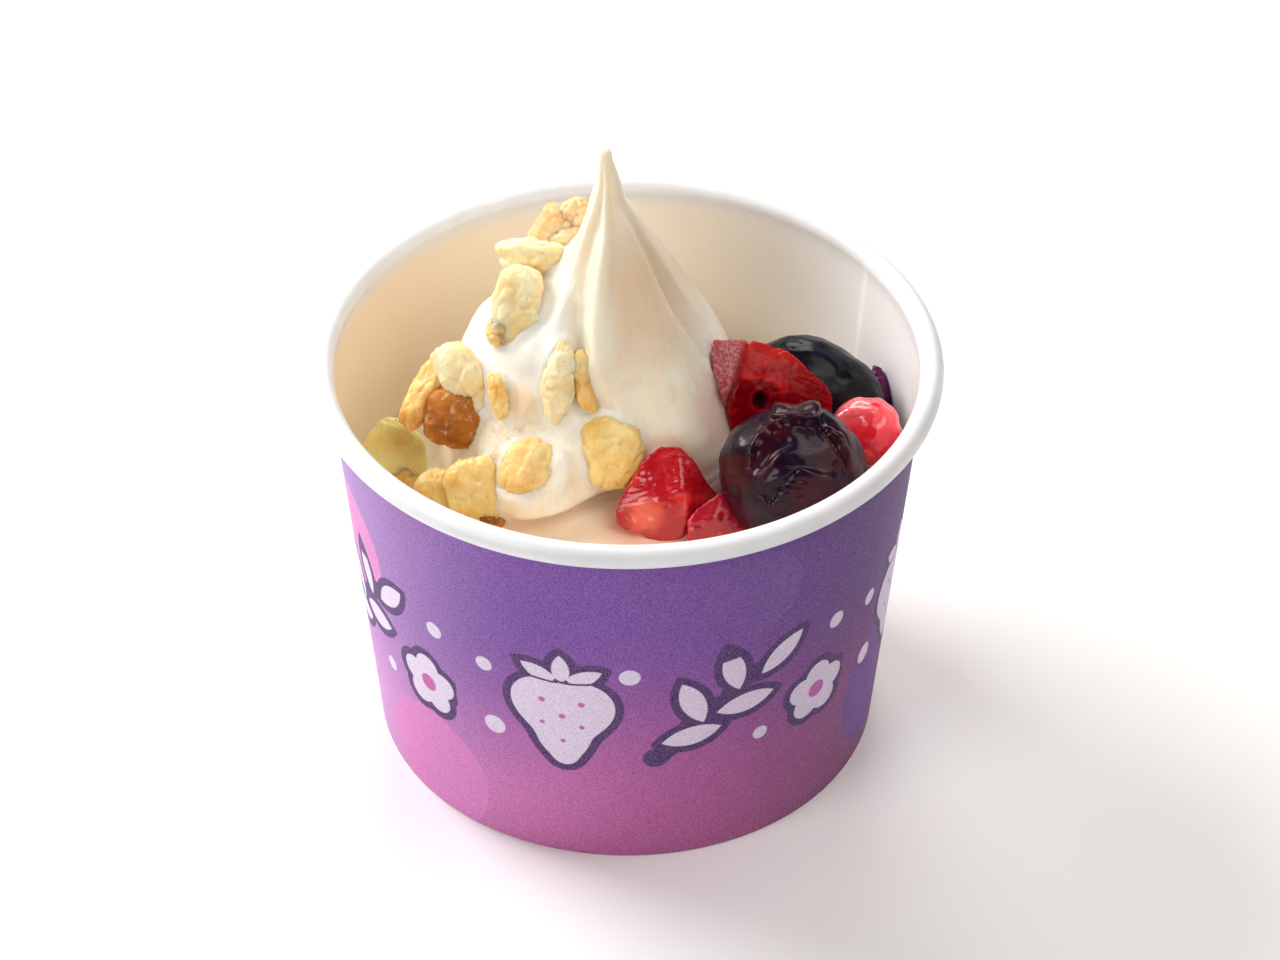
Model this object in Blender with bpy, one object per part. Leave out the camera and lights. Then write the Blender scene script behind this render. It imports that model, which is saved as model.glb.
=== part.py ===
"""Frozen yogurt in a paper dessert cup, with granola on its left side and berries on its right.

Run it with blender --background --python part.py, or from Blender's text editor. Lengths are in metres, +Z is
up, and the origin is the centre of the ring that the cup stands on. The front of the cup faces -Y.
"""

import math

import bmesh
import bpy
from mathutils import Matrix, Vector, noise

MM = 0.001
TAU = 2 * math.pi
GAP = 0.3 * MM  # air left between two touching pieces

# Paper cup
RIM_RADIUS = 45.0 * MM
CUP_HEIGHT = 63.5 * MM
FOOT_RADIUS = 36.7 * MM
BEAD_RADIUS = 1.65 * MM  # the rolled rim, half its height
NECK_RADIUS = 42.4 * MM  # the wall's outside just under the rolled rim
PAPER = 0.5 * MM
HEM_HEIGHT = 6.0 * MM  # paper folded up inside the foot
HEM_FOLD = 0.8 * MM
FLOOR_TOP = 7.4 * MM
SEAM_ANGLE = math.radians(33)  # where the inner end of the side wall shows
SEAM_LAP = math.radians(11)  # width of the glued overlap
SEAM_FADE = math.radians(70)  # the step dies away over this turn
CUP_SIDES = 50
BEAD_SIDES = 9
DISC_SIDES = 40

# Frozen yogurt: one body, drawn round an upright axis that stands a little behind the cup's
AXIS = Vector((-3.0 * MM, 6.0 * MM, 0))
TIP_HEIGHT = 94.5 * MM
PEAK_HEIGHTS = [90, 86, 82, 78, 74, 70, 66, 62, 58, 54, 50]  # mm
# For each turn round the axis in degrees, the peak's radius at each of those heights, in mm
PEAK_RADII = {
    0: [1.8, 2.9, 5.2, 7.5, 9.8, 12.1, 14.3, 16.6, 17.9, 18.2, 18.6],
    30: [1.8, 2.8, 5.1, 7.3, 9.6, 12.0, 14.3, 16.6, 18.4, 19.4, 20.2],
    60: [1.7, 2.7, 4.9, 7.3, 10.1, 13.0, 15.6, 17.8, 19.3, 20.2, 20.8],
    90: [1.6, 2.6, 4.5, 6.8, 9.6, 12.8, 15.6, 18.0, 19.7, 20.8, 21.4],
    120: [1.5, 2.4, 3.9, 5.9, 8.4, 12.0, 16.0, 18.8, 20.5, 21.4, 22.0],
    150: [1.4, 2.2, 3.3, 4.8, 6.9, 11.4, 16.4, 19.5, 21.3, 22.2, 22.8],
    180: [1.4, 2.2, 2.9, 4.0, 5.8, 10.2, 15.8, 19.6, 21.5, 22.5, 23.2],
    205: [1.4, 2.2, 3.0, 4.1, 5.7, 9.2, 14.4, 19.0, 21.6, 23.0, 24.4],
    230: [1.4, 2.3, 3.4, 4.8, 6.8, 9.4, 12.8, 16.6, 20.4, 23.6, 27.6],
    250: [1.5, 2.4, 3.9, 5.5, 7.4, 9.4, 11.2, 13.2, 16.9, 21.8, 26.8],
    268: [1.8, 2.9, 4.9, 7.0, 9.2, 11.0, 12.4, 13.4, 15.0, 17.2, 20.2],
    285: [1.7, 2.7, 4.6, 6.8, 9.0, 11.2, 13.0, 14.4, 15.2, 15.8, 16.2],
    305: [1.8, 2.8, 5.0, 7.4, 9.9, 12.3, 14.6, 16.6, 17.2, 16.8, 16.2],
    330: [1.8, 2.9, 5.2, 7.6, 10.1, 12.6, 14.9, 16.9, 17.6, 17.6, 17.4],
}
# For each turn in degrees, in mm: how far the lip juts out over the mound, the mound's height at the peak's
# foot and the height at which it meets the paper
MOUND = {
    0: (0.0, 46.2, 45.5), 45: (0.0, 43.5, 39.0), 90: (0.0, 41.5, 36.5), 135: (0.0, 41.0, 36.0),
    180: (0.0, 42.0, 37.5), 210: (0.0, 44.5, 41.0), 235: (0.4, 46.0, 44.0), 250: (2.6, 46.4, 45.0),
    268: (2.6, 46.6, 46.0), 284: (1.8, 46.8, 46.4), 297: (0.3, 46.8, 46.6), 320: (0.0, 46.8, 47.0),
}
YOGURT_SIDES = 56
PEAK_RIDGES = 6
RIDGE_DEPTH = 0.3  # of the peak's radius near the tip
RIDGE_TWIST = math.radians(14)  # the ridges' turn from the tip to the foot
CREASE_ANGLE = math.radians(-46)  # where the front sheet overlaps the one behind
CREASE_DRIFT = math.radians(20)
CREASE_STEP = 1.1 * MM
COIL_TOP = 67.0 * MM  # a groove winds down round the back between the coils
COIL_FALL = 4.4 * MM  # for each radian of turn
COIL_DEPTH = 1.8 * MM
COIL_WIDTH = 2.6 * MM

SOCKET_GAP = 0.45 * MM  # air between a piece and the socket it sits in

# Granola, as name: lumps fused into that piece. A lump is its centre and half sizes in mm, its backward tilt and
# its sideways roll in degrees, its squareness (2 is an ellipsoid) and its roughness as a share of its size.
GRANOLA = {
    "granola_crumb": [
        ((-9.9, 16.0, 72.5), (3.6, 3.1, 3.8), -30, 20, 2.6, 0.1),
        ((-7.3, 16.6, 74.4), (2.8, 2.6, 3.2), -30, 0, 2.2, 0.1),
        ((-7.9, 13.6, 71.6), (3.2, 2.8, 3.4), -30, 0, 2.4, 0.08),
    ],
    "oat_flake_upper": [((-12.6, 10.4, 72.5), (6.0, 2.6, 2.7), -30, 10, 2.3, 0.1)],
    "oat_puff_upper": [
        ((-15.6, 3.1, 69.3), (3.7, 2.8, 6.0), -36, 8, 2.6, 0.07),
        ((-18.0, 1.0, 66.8), (2.0, 1.8, 2.3), -36, 0, 2.2, 0.1),
    ],
    "granola_cluster": [
        ((-23.0, -2.7, 60.6), (3.4, 2.6, 6.0), -36, -32, 2.4, 0.08),
        ((-28.6, -2.0, 57.9), (2.5, 2.5, 6.0), -36, 30, 2.3, 0.1),
        ((-24.5, -4.5, 55.6), (3.8, 3.7, 4.0), -28, 12, 3.2, 0.1),
        ((-18.0, -6.3, 60.5), (1.8, 1.5, 3.6), -36, -14, 2.2, 0.08),
    ],
    "oat_flake_wall": [
        ((-33.2, -3.6, 47.6), (4.3, 1.7, 5.4), -36, -14, 2.3, 0.1),
        ((-32.2, -6.4, 44.8), (2.4, 1.6, 2.2), -36, 20, 2.2, 0.16),
    ],
    "oat_pair": [
        ((-26.4, -14.2, 48.3), (3.6, 2.1, 4.2), -36, -18, 2.4, 0.08),
        ((-20.9, -14.9, 50.1), (4.4, 2.4, 5.2), -36, -20, 2.5, 0.08),
    ],
    "oat_flake_front": [((-13.5, -15.4, 53.5), (4.3, 2.5, 4.9), -38, 24, 2.3, 0.1)],
    "oat_puff_middle": [
        ((-9.4, -6.4, 63.3), (2.5, 2.2, 5.8), -34, 6, 2.2, 0.1),
        ((-6.2, -6.2, 63.2), (1.7, 1.3, 4.4), -34, -12, 2.2, 0.1),
    ],
    "oat_puff_front": [((-2.4, -11.4, 54.8), (4.6, 2.8, 5.2), -38, -10, 2.5, 0.08)],
}
# Whole berries, with the same numbers for one lump each
BERRIES = {
    "blueberry_front": ((23.4, -15.9, 54.5), (10.4, 9.9, 9.7), -38, 0, 2.1, 0.02),
    "blueberry_back": ((28.2, 10.2, 49.5), (10.4, 8.4, 7.8), -36, 28, 2.1, 0.02),
    "berry_small": ((34.0, -4.8, 53.0), (5.1, 4.8, 5.1), -38, 0, 2.1, 0.03),
}
# Cut strawberry pieces: the centre, then each corner from it as right, up and towards the viewer in the
# photograph, all in mm
CUT_FRUIT = {
    "strawberry_side": ((21.6, 0.0, 56.4), [
        (-9.4, 7.6, 4.4), (-10.0, 5.2, 5.6), (-9.0, 2.4, 6.4), (-8.2, 0.2, 5.6), (-5.2, 7.2, 1.8), (-1.6, 7.3, 1.2),
        (0.6, 6.3, 0.9), (2.6, 4.8, 0.9), (5.2, 2.8, 0.7), (7.5, 0.6, 0.3), (7.9, -1.6, 0.2), (7.5, -4.4, 0.0),
        (2.4, -6.4, 1.0), (-3.2, -6.8, 1.2), (-6.9, -5.0, 2.2), (-2.6, 0.0, 4.6), (1.6, 1.2, 3.4), (3.6, -1.6, 2.6),
        (-3.8, -3.2, 3.8), (-3.2, 4.2, 3.4), (-4.0, 4.0, -4.0), (2.0, 4.0, -3.5), (6.0, -1.0, -3.0),
        (4.0, -5.0, -3.0), (-5.0, -4.0, -4.0),
    ]),
    "strawberry_front": ((6.0, -16.3, 50.8), [
        (-0.2, 7.0, 0.0), (-4.0, 3.4, 1.2), (-7.7, -2.3, 0.8), (-7.5, -4.3, 0.6), (-3.0, -6.4, 1.4), (1.4, -7.0, 1.8),
        (1.6, 0.8, 3.6), (1.4, 5.2, 1.4), (4.6, 3.0, 0.6), (7.2, -0.4, -0.4), (-1.8, -0.8, 3.2), (2.8, -3.4, 2.8),
        (0.0, 5.6, -3.2), (-6.2, -2.8, -3.0), (-1.0, -6.2, -2.8), (5.6, -1.6, -3.2), (3.0, 3.0, -3.4),
    ]),
    "strawberry_corner": ((14.0, -20.4, 50.0), [
        (-5.6, -3.4, 1.2), (-5.6, -0.6, 1.4), (-4.2, 1.5, 0.6), (-0.8, 3.6, 0.0), (1.2, 2.0, 0.4), (3.6, -1.3, 0.0),
        (3.0, -3.6, 0.2), (-1.6, -3.8, 1.2), (-2.0, 0.0, 2.0), (-4.0, -2.0, -2.4), (0.0, 2.0, -2.4), (2.6, -2.0, -2.4),
        (-1.0, -3.5, -2.0),
    ]),
}
VIEW_TILT = math.radians(-38.8)
CUT_ROUND = 0.8  # mm, how far the cut pieces' edges are rounded
# Each piece gives way to those before it where they touch
KEEP_ORDER = [
    "blueberry_front", "blueberry_back", "berry_small", "strawberry_side", "strawberry_front", "strawberry_corner",
    "granola_crumb", "oat_flake_upper", "oat_puff_upper", "granola_cluster", "oat_flake_wall", "oat_pair",
    "oat_puff_front", "oat_puff_middle", "oat_flake_front",
]
CROWN_AXIS = Vector((0.06, -0.98, 0.19)).normalized()  # the front blueberry's crown end, seen from the berry
CROWN_EDGE = 0.74  # radians from that axis
CROWN_DEPTH = 0.07  # share of the berry's size
CROWN_POINTS = 5


def remove_startup_objects():
    for obj in list(bpy.data.objects):
        bpy.data.objects.remove(obj, do_unlink=True)


def material(name, color, roughness, metallic=0.0):
    """A plain Principled material."""
    made = bpy.data.materials.new(name)
    made.use_nodes = True
    shader = made.node_tree.nodes["Principled BSDF"]
    shader.inputs["Base Color"].default_value = (*color, 1)
    shader.inputs["Roughness"].default_value = roughness
    shader.inputs["Metallic"].default_value = metallic
    return made


def add_object(name, points, faces, finish, smooth=True):
    mesh = bpy.data.meshes.new(name)
    mesh.from_pydata([tuple(p) for p in points], [], faces)
    mesh.validate()
    obj = bpy.data.objects.new(name, mesh)
    bpy.context.scene.collection.objects.link(obj)
    mesh.materials.append(finish)
    if smooth:
        mesh.shade_smooth()
        mesh.set_sharp_from_angle(angle=math.radians(40))
    return obj


def bridge(rings, closed_rings=False):
    """Quads between equal rings of points, with a flat cap at each end unless the rings close on themselves."""
    count = len(rings[0])
    last = len(rings) if closed_rings else len(rings) - 1
    faces = []
    for i in range(last):
        near, far = i * count, (i + 1) % len(rings) * count
        for k in range(count):
            m = (k + 1) % count
            faces.append((near + k, near + m, far + m, far + k))
    if not closed_rings:
        faces.append(tuple(reversed(range(count))))
        faces.append(tuple(range((len(rings) - 1) * count, len(rings) * count)))
    return [p for ring in rings for p in ring], faces


def smoothstep(low, high, x):
    t = min(1.0, max(0.0, (x - low) / (high - low)))
    return t * t * (3 - 2 * t)


def turn_between(a, b):
    """The turn from angle b to angle a, between -pi and pi."""
    return (a - b + math.pi) % TAU - math.pi


def wall_radius(z):
    """Outside of the paper at height z."""
    return FOOT_RADIUS + (NECK_RADIUS - FOOT_RADIUS) * z / (CUP_HEIGHT - 2 * BEAD_RADIUS)


def lap(angle):
    """How far the glued overlap thickens the wall at this angle, from 0 to 1."""
    back = -turn_between(angle, SEAM_ANGLE)
    if back < -0.001:
        return 0.0
    return 1 - smoothstep(SEAM_LAP, SEAM_FADE, back)


def wall_section(angle):
    """The wall's cut face at one angle, as (radius, height), anticlockwise from the foot's outer edge."""
    step = 0.8 * PAPER * lap(angle)
    bead = BEAD_RADIUS * (1 + 0.09 * lap(angle))
    slot = 2 * GAP + PAPER
    middle = Vector((RIM_RADIUS - BEAD_RADIUS, CUP_HEIGHT - BEAD_RADIUS))
    points = [(wall_radius(0) - 0.3 * MM, 0), (wall_radius(0.4 * MM), 0.4 * MM)]
    points.append((NECK_RADIUS, CUP_HEIGHT - 2 * BEAD_RADIUS))
    start, end = math.radians(-125), math.radians(200)
    for k in range(BEAD_SIDES):
        a = start + (end - start) * k / (BEAD_SIDES - 1)
        points.append((middle.x + bead * math.cos(a), middle.y + bead * math.sin(a)))
    inner_top = CUP_HEIGHT - 2.6 * BEAD_RADIUS
    for z in (inner_top, inner_top * 0.55, HEM_HEIGHT + 1.6 * MM):
        points.append((wall_radius(z) - PAPER - step, z))
    for z in (HEM_HEIGHT, HEM_FOLD):
        points.append((wall_radius(z) - PAPER, z))
    for z in (HEM_FOLD, HEM_HEIGHT):
        points.append((wall_radius(z) - PAPER - slot, z))
    for z in (HEM_HEIGHT, 0):
        points.append((wall_radius(z) - 2 * PAPER - slot, z))
    return points


def make_cup_wall(finish):
    """Side wall with its rolled rim, glued side seam and the hem that grips the floor."""
    angles = [TAU * k / CUP_SIDES for k in range(CUP_SIDES)]
    angles.append(SEAM_ANGLE)
    rings = []
    for angle in sorted(angles):
        rings.append([(r * math.cos(angle), r * math.sin(angle), z) for r, z in wall_section(angle)])
    points, faces = bridge(rings, closed_rings=True)
    return add_object("cup_wall", points, [tuple(reversed(f)) for f in faces], finish)


def make_cup_floor(finish):
    """Floor disc, raised above the foot, with its edge turned down into the wall's hem."""
    low = HEM_FOLD + GAP
    outer = PAPER + GAP
    top_radius = wall_radius(FLOOR_TOP) - outer
    under = FLOOR_TOP - PAPER
    section = [
        (wall_radius(low) - outer, low),
        (wall_radius(under) - outer, under),
        (top_radius - 0.4 * MM, FLOOR_TOP),
        (wall_radius(under) - outer - PAPER, under),
        (wall_radius(low) - outer - PAPER, low),
    ]
    rings = []
    for k in range(DISC_SIDES):
        angle = TAU * k / DISC_SIDES
        rings.append([(r * math.cos(angle), r * math.sin(angle), z) for r, z in section])
    points, faces = bridge(rings, closed_rings=True)
    count = len(section)
    inner_top, inner_under = 2, 3  # the ring is open in the middle between these two
    faces = [f for n, f in enumerate(faces) if n % count != inner_top]
    faces = [tuple(reversed(f)) for f in faces]
    faces.append(tuple(k * count + inner_top for k in range(DISC_SIDES)))
    faces.append(tuple(k * count + inner_under for k in reversed(range(DISC_SIDES))))
    return add_object("cup_floor", points, faces, finish)


def round_table(table, angle):
    """Values of a table keyed by degrees, as a smooth closed curve through its rows."""
    turns = sorted(table)
    turn = math.degrees(angle) % 360
    n = max(i for i, t in enumerate(turns) if t <= turn)
    count = len(turns)

    def row(i):
        return turns[i % count] + 360 * (i // count), table[turns[i % count]]

    (t0, v0), (t1, v1), (t2, v2), (t3, v3) = row(n - 1), row(n), row(n + 1), row(n + 2)
    s = (turn - t1) / (t2 - t1)
    values = []
    for a, b, c, d in zip(v0, v1, v2, v3):
        into = (c - a) / (t2 - t0) * (t2 - t1)
        out = (d - b) / (t3 - t1) * (t2 - t1)
        values.append(
            b * (1 + 2 * s) * (1 - s) ** 2 + into * s * (1 - s) ** 2
            + c * s * s * (3 - 2 * s) + out * s * s * (s - 1)
        )
    return values


def reach_paper(angle, z):
    """From the yogurt's axis to just inside the paper, in this direction and at this height."""
    outward = Vector((math.cos(angle), math.sin(angle), 0))
    inside = wall_radius(z) - 1.8 * PAPER - GAP
    along = AXIS.dot(outward)
    return math.sqrt(along * along - AXIS.length_squared + inside * inside) - along


def folded(radius, angle, height):
    """The peak's radius with its ridges, its crease and the groove between its coils."""
    fall = TIP_HEIGHT - height
    share = fall / (TIP_HEIGHT - 50 * MM)
    wave = abs(math.sin((angle + math.pi / 2 + RIDGE_TWIST * share) * PEAK_RIDGES / 2))
    ridge = 1 - math.sqrt(wave * wave + 0.02)
    front = 0.5 - 0.5 * math.sin(angle)
    depth = RIDGE_DEPTH * (1 - smoothstep(14 * MM, 40 * MM, fall)) * smoothstep(2 * MM, 9 * MM, fall)
    radius *= 1 + depth * (0.6 + 0.4 * front) * (ridge - 0.42)
    ahead = turn_between(angle, CREASE_ANGLE + CREASE_DRIFT * smoothstep(20 * MM, 45 * MM, fall))
    if -1.0 < ahead <= 0:
        radius += CREASE_STEP * (1 + ahead) ** 2 * smoothstep(8 * MM, 22 * MM, fall)
    turn = (angle - math.radians(-60)) % TAU
    groove = COIL_TOP - COIL_FALL * (math.radians(255) - turn)
    near = max(0.0, 1 - abs(height - groove) / COIL_WIDTH)
    ends = smoothstep(0, 0.9, turn) * (1 - smoothstep(math.radians(215), math.radians(262), turn))
    return radius - COIL_DEPTH * near * near * (3 - 2 * near) * ends


def yogurt_profile(angle):
    """The yogurt's outline in one direction from its axis, as (radius, height) from the tip to the floor."""
    radii = round_table(PEAK_RADII, angle)
    lip, foot, edge = [v * MM for v in round_table(MOUND, angle)]
    points = [(0.7 * MM, TIP_HEIGHT - 0.3 * MM), (1.0 * MM, TIP_HEIGHT - 1.8 * MM)]
    for height, radius in zip(PEAK_HEIGHTS, radii):
        points.append((folded(radius * MM, angle, height * MM), height * MM))
    low = points[-1][0]
    under = 50 * MM - foot
    points.append((low + 0.8 * MM - lip * 0.9, foot + under * 0.5))
    points.append((low + 1.8 * MM - lip * 1.6, foot + under * 0.12))
    points.append((low + 4.2 * MM - lip, foot))
    start = points[-1][0]
    end = reach_paper(angle, edge)
    for share in (0.35, 0.7, 1.0):
        ease = smoothstep(0, 1.1, share) / smoothstep(0, 1.1, 1.0)
        points.append((start + (end - start) * share, foot + (edge - foot) * ease))
    bottom = FLOOR_TOP + GAP
    for share in (0.5, 1.0):
        z = edge + (bottom - edge) * share
        points.append((reach_paper(angle, z), z))
    return points


def make_yogurt(finish):
    """Mound, coils and drawn-up peak in one body, closed by a fan at the tip and a flat bottom."""
    profiles = [yogurt_profile(TAU * k / YOGURT_SIDES) for k in range(YOGURT_SIDES)]
    rings = []
    for row in reversed(range(len(profiles[0]))):
        ring = []
        for k, profile in enumerate(profiles):
            r, z = profile[row]
            angle = TAU * k / YOGURT_SIDES
            ring.append(AXIS + Vector((r * math.cos(angle), r * math.sin(angle), z)))
        rings.append(ring)
    points, faces = bridge(rings)
    faces.pop()
    points.append(AXIS + Vector((0, 0, TIP_HEIGHT)))
    top = len(points) - 1 - YOGURT_SIDES
    for k in range(YOGURT_SIDES):
        faces.append((top + k, top + (k + 1) % YOGURT_SIDES, len(points) - 1))
    return add_object("yogurt", points, faces, finish)


def add_boolean(obj, other, operation, solver="EXACT"):
    """A Boolean with an object or a collection, applied at once."""
    modifier = obj.modifiers.new("Boolean", "BOOLEAN")
    modifier.operation = operation
    modifier.solver = solver
    if isinstance(other, bpy.types.Collection):
        modifier.operand_type = "COLLECTION"
        modifier.collection = other
    else:
        modifier.object = other
    graph = bpy.context.evaluated_depsgraph_get()
    mesh = bpy.data.meshes.new_from_object(obj.evaluated_get(graph))
    obj.modifiers.clear()
    obj.data = mesh


def lump_points(lump, sides, rings, crown=0.0):
    """An uneven rounded body as rings of points from its foot to its top, and its two poles."""
    centre, half, tilt, roll, power, rough = lump
    turn = Matrix.Rotation(math.radians(tilt), 3, "X") @ Matrix.Rotation(math.radians(roll), 3, "Y")
    middle = Vector(centre) * MM
    seed = Vector((centre[0], centre[2], centre[1])) * 0.37

    def place(direction):
        reach = sum(abs(v) ** power for v in direction) ** (-1 / power)
        uneven = noise.noise(direction * 1.7 + seed) + 0.5 * noise.noise(direction * 3.9 + seed)
        size = reach * (1 + rough * 2.2 * uneven)
        if crown:
            size += crown_rise(direction, crown)
        return middle + turn @ Vector([v * h * MM * size for v, h in zip(direction, half)])

    rows = []
    for i in range(1, rings):
        up = math.pi * i / rings
        ring = []
        for k in range(sides):
            a = TAU * (k + 0.5 * (i % 2)) / sides
            ring.append(place(Vector((math.sin(up) * math.cos(a), math.sin(up) * math.sin(a), -math.cos(up)))))
        rows.append(ring)
    return rows, place(Vector((0, 0, -1))), place(Vector((0, 0, 1)))


def crown_rise(direction, depth):
    """A blueberry's crown: a ragged raised ring round a shallow hollow."""
    away = CROWN_AXIS.angle(direction)
    turn = math.atan2(direction.z - CROWN_AXIS.z, direction.x - CROWN_AXIS.x)
    edge = CROWN_EDGE + 0.05 * math.cos(CROWN_POINTS * turn)
    ring = math.exp(-(((away - edge) / 0.14) ** 2))
    hollow = 1 - smoothstep(edge - 0.3, edge, away)
    return depth * (0.5 * ring - hollow)


def make_lump(name, lump, sides, rings, finish, crown=0.0):
    rows, low, high = lump_points(lump, sides, rings, crown)
    points = [p for row in rows for p in row] + [low, high]
    faces = []
    for i in range(len(rows) - 1):
        near, far = i * sides, (i + 1) * sides
        for k in range(sides):
            m = (k + 1) % sides
            faces.append((near + k, near + m, far + m, far + k))
    last = (len(rows) - 1) * sides
    for k in range(sides):
        m = (k + 1) % sides
        faces.append((len(points) - 2, m, k))
        faces.append((last + k, last + m, len(points) - 1))
    return add_object(name, points, faces, finish)


def make_piece(name, lumps, sides, rings, finish, crown=0.0):
    """One topping, its lumps fused into one body, and the swollen lumps that cut room for it."""
    more = bpy.data.collections.new("fused")
    rooms = bpy.data.collections.new(name + "_room")
    for made in (more, rooms):
        bpy.context.scene.collection.children.link(made)
    piece = None
    for lump in lumps:
        obj = make_lump(name if piece is None else "lump", lump, sides, rings, finish, crown)
        move_to(swollen(obj, SOCKET_GAP), rooms)
        if piece is None:
            piece = obj
        else:
            move_to(obj, more)
    if len(lumps) > 1:
        add_boolean(piece, more, "UNION", "MANIFOLD")
        keep_largest(piece)
    remove_collection(more)
    return piece, rooms


def make_hull(name, centre, corners, rounding, finish):
    """The hull of the corners, with its edges rounded by this many mm."""
    facing = Matrix.Rotation(VIEW_TILT, 3, "X")
    golden = (1 + math.sqrt(5)) / 2
    ball = []
    for one in (-1, 1):
        for other in (-golden, golden):
            ball += [Vector((0, one, other)), Vector((one, other, 0)), Vector((other, 0, one))]
    bm = bmesh.new()
    for right, up, near_side in corners:
        corner = Vector((right, -near_side, up))
        corner -= corner.normalized() * CUT_ROUND
        for way in ball:
            local = corner + way.normalized() * rounding
            bm.verts.new((Vector(centre) + facing @ local) * MM)
    made = bmesh.ops.convex_hull(bm, input=bm.verts)
    spare = {v for v in made["geom_interior"] + made["geom_unused"] if isinstance(v, bmesh.types.BMVert)}
    bmesh.ops.delete(bm, geom=list(spare), context="VERTS")
    bmesh.ops.remove_doubles(bm, verts=bm.verts, dist=0.25 * MM)
    bmesh.ops.recalc_face_normals(bm, faces=bm.faces)
    points = [v.co.copy() for v in bm.verts]
    bm.verts.index_update()
    faces = [[v.index for v in f.verts] for f in bm.faces]
    bm.free()
    return add_object(name, points, faces, finish)


def make_cut_piece(name, centre, corners, finish):
    """A piece cut from a fruit, and the slightly larger hull that cuts room for it."""
    rooms = bpy.data.collections.new(name + "_room")
    bpy.context.scene.collection.children.link(rooms)
    move_to(make_hull("room", centre, corners, CUT_ROUND + 1.25 * SOCKET_GAP / MM, finish), rooms)
    return make_hull(name, centre, corners, CUT_ROUND, finish), rooms


def move_to(obj, collection):
    bpy.context.scene.collection.objects.unlink(obj)
    collection.objects.link(obj)


def remove_collection(collection):
    for obj in list(collection.objects):
        bpy.data.objects.remove(obj, do_unlink=True)
    bpy.data.collections.remove(collection)


def swollen(obj, by):
    """A copy that stands proud of the original by this much."""
    copy = obj.copy()
    copy.data = obj.data.copy()
    moved = [v.co + v.normal * by for v in copy.data.vertices]
    for vertex, place in zip(copy.data.vertices, moved):
        vertex.co = place
    bpy.context.scene.collection.objects.link(copy)
    return copy


def keep_largest(obj):
    """Drops the loose crumbs and sealed pockets that a Boolean leaves."""
    bm = bmesh.new()
    bm.from_mesh(obj.data)
    parts = []
    seen = set()
    for vertex in bm.verts:
        if vertex in seen:
            continue
        part = [vertex]
        seen.add(vertex)
        for member in part:
            for edge in member.link_edges:
                other = edge.other_vert(member)
                if other not in seen:
                    seen.add(other)
                    part.append(other)
        parts.append(part)
    parts.sort(key=len)
    for part in parts[:-1]:
        bmesh.ops.delete(bm, geom=part, context="VERTS")
    bm.to_mesh(obj.data)
    bm.free()


def near(one, other):
    """Whether the boxes of two objects come within a socket's gap of each other."""
    for axis in range(3):
        mine = [v.co[axis] for v in one.data.vertices]
        theirs = [v.co[axis] for v in other.data.vertices]
        if min(mine) > max(theirs) + SOCKET_GAP or min(theirs) > max(mine) + SOCKET_GAP:
            return False
    return True


def cut_room(obj, room):
    """Cuts a socket for a neighbour out of an object."""
    add_boolean(obj, room, "DIFFERENCE", "MANIFOLD")
    keep_largest(obj)


def main():
    remove_startup_objects()
    paper = material("white_paper", (0.9, 0.9, 0.91), 0.45)
    printed = material("printed_paper", (0.36, 0.2, 0.5), 0.5)
    cream = material("yogurt", (0.93, 0.86, 0.74), 0.4)
    make_cup_wall(printed)
    make_cup_floor(paper)
    yogurt = make_yogurt(cream)
    oat = material("oat_granola", (0.84, 0.66, 0.33), 0.75)
    blue = material("blueberry_skin", (0.05, 0.03, 0.08), 0.15)
    red = material("strawberry_flesh", (0.6, 0.03, 0.05), 0.2)
    pieces = {}
    rooms = {}
    for name, lumps in GRANOLA.items():
        pieces[name], rooms[name] = make_piece(name, lumps, 12, 7, oat)
    for name, lump in BERRIES.items():
        crown = CROWN_DEPTH if name == "blueberry_front" else 0.0
        sides, rings, look = (14, 8, red) if name == "berry_small" else (24, 13, blue)
        pieces[name], rooms[name] = make_piece(name, [lump], sides, rings, look, crown)
    for name, (centre, corners) in CUT_FRUIT.items():
        pieces[name], rooms[name] = make_cut_piece(name, centre, corners, red)
    for n, giver in enumerate(KEEP_ORDER):
        for keeper in KEEP_ORDER[:n]:
            if near(pieces[giver], pieces[keeper]):
                cut_room(pieces[giver], rooms[keeper])
    for room in rooms.values():
        cut_room(yogurt, room)
        remove_collection(room)


main()
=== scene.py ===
"""The looks of the frozen yogurt cup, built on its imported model.

Lengths are in metres, +Z is up and the front of the cup faces -Y. Every piece rides on the one body, root.
"""

from math import atan2, cos, degrees, exp, hypot, pi, radians, sin, sqrt

import bmesh
import bpy
import numpy as np
from mathutils import Matrix, Vector
from mathutils.noise import noise

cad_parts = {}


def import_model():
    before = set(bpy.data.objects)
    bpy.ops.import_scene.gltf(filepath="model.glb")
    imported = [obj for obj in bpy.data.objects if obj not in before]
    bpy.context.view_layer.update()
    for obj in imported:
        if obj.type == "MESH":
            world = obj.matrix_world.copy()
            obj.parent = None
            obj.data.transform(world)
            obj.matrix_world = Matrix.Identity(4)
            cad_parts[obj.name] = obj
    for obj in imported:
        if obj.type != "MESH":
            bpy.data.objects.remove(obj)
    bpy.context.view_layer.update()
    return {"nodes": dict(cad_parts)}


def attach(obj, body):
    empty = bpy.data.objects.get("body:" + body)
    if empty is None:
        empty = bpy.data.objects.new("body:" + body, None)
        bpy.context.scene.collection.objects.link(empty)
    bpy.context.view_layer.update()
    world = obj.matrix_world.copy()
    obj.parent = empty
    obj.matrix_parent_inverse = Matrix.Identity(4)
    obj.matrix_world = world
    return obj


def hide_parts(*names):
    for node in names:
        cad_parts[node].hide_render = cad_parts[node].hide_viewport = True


MM = 0.001
TAU = 2 * pi

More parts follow.
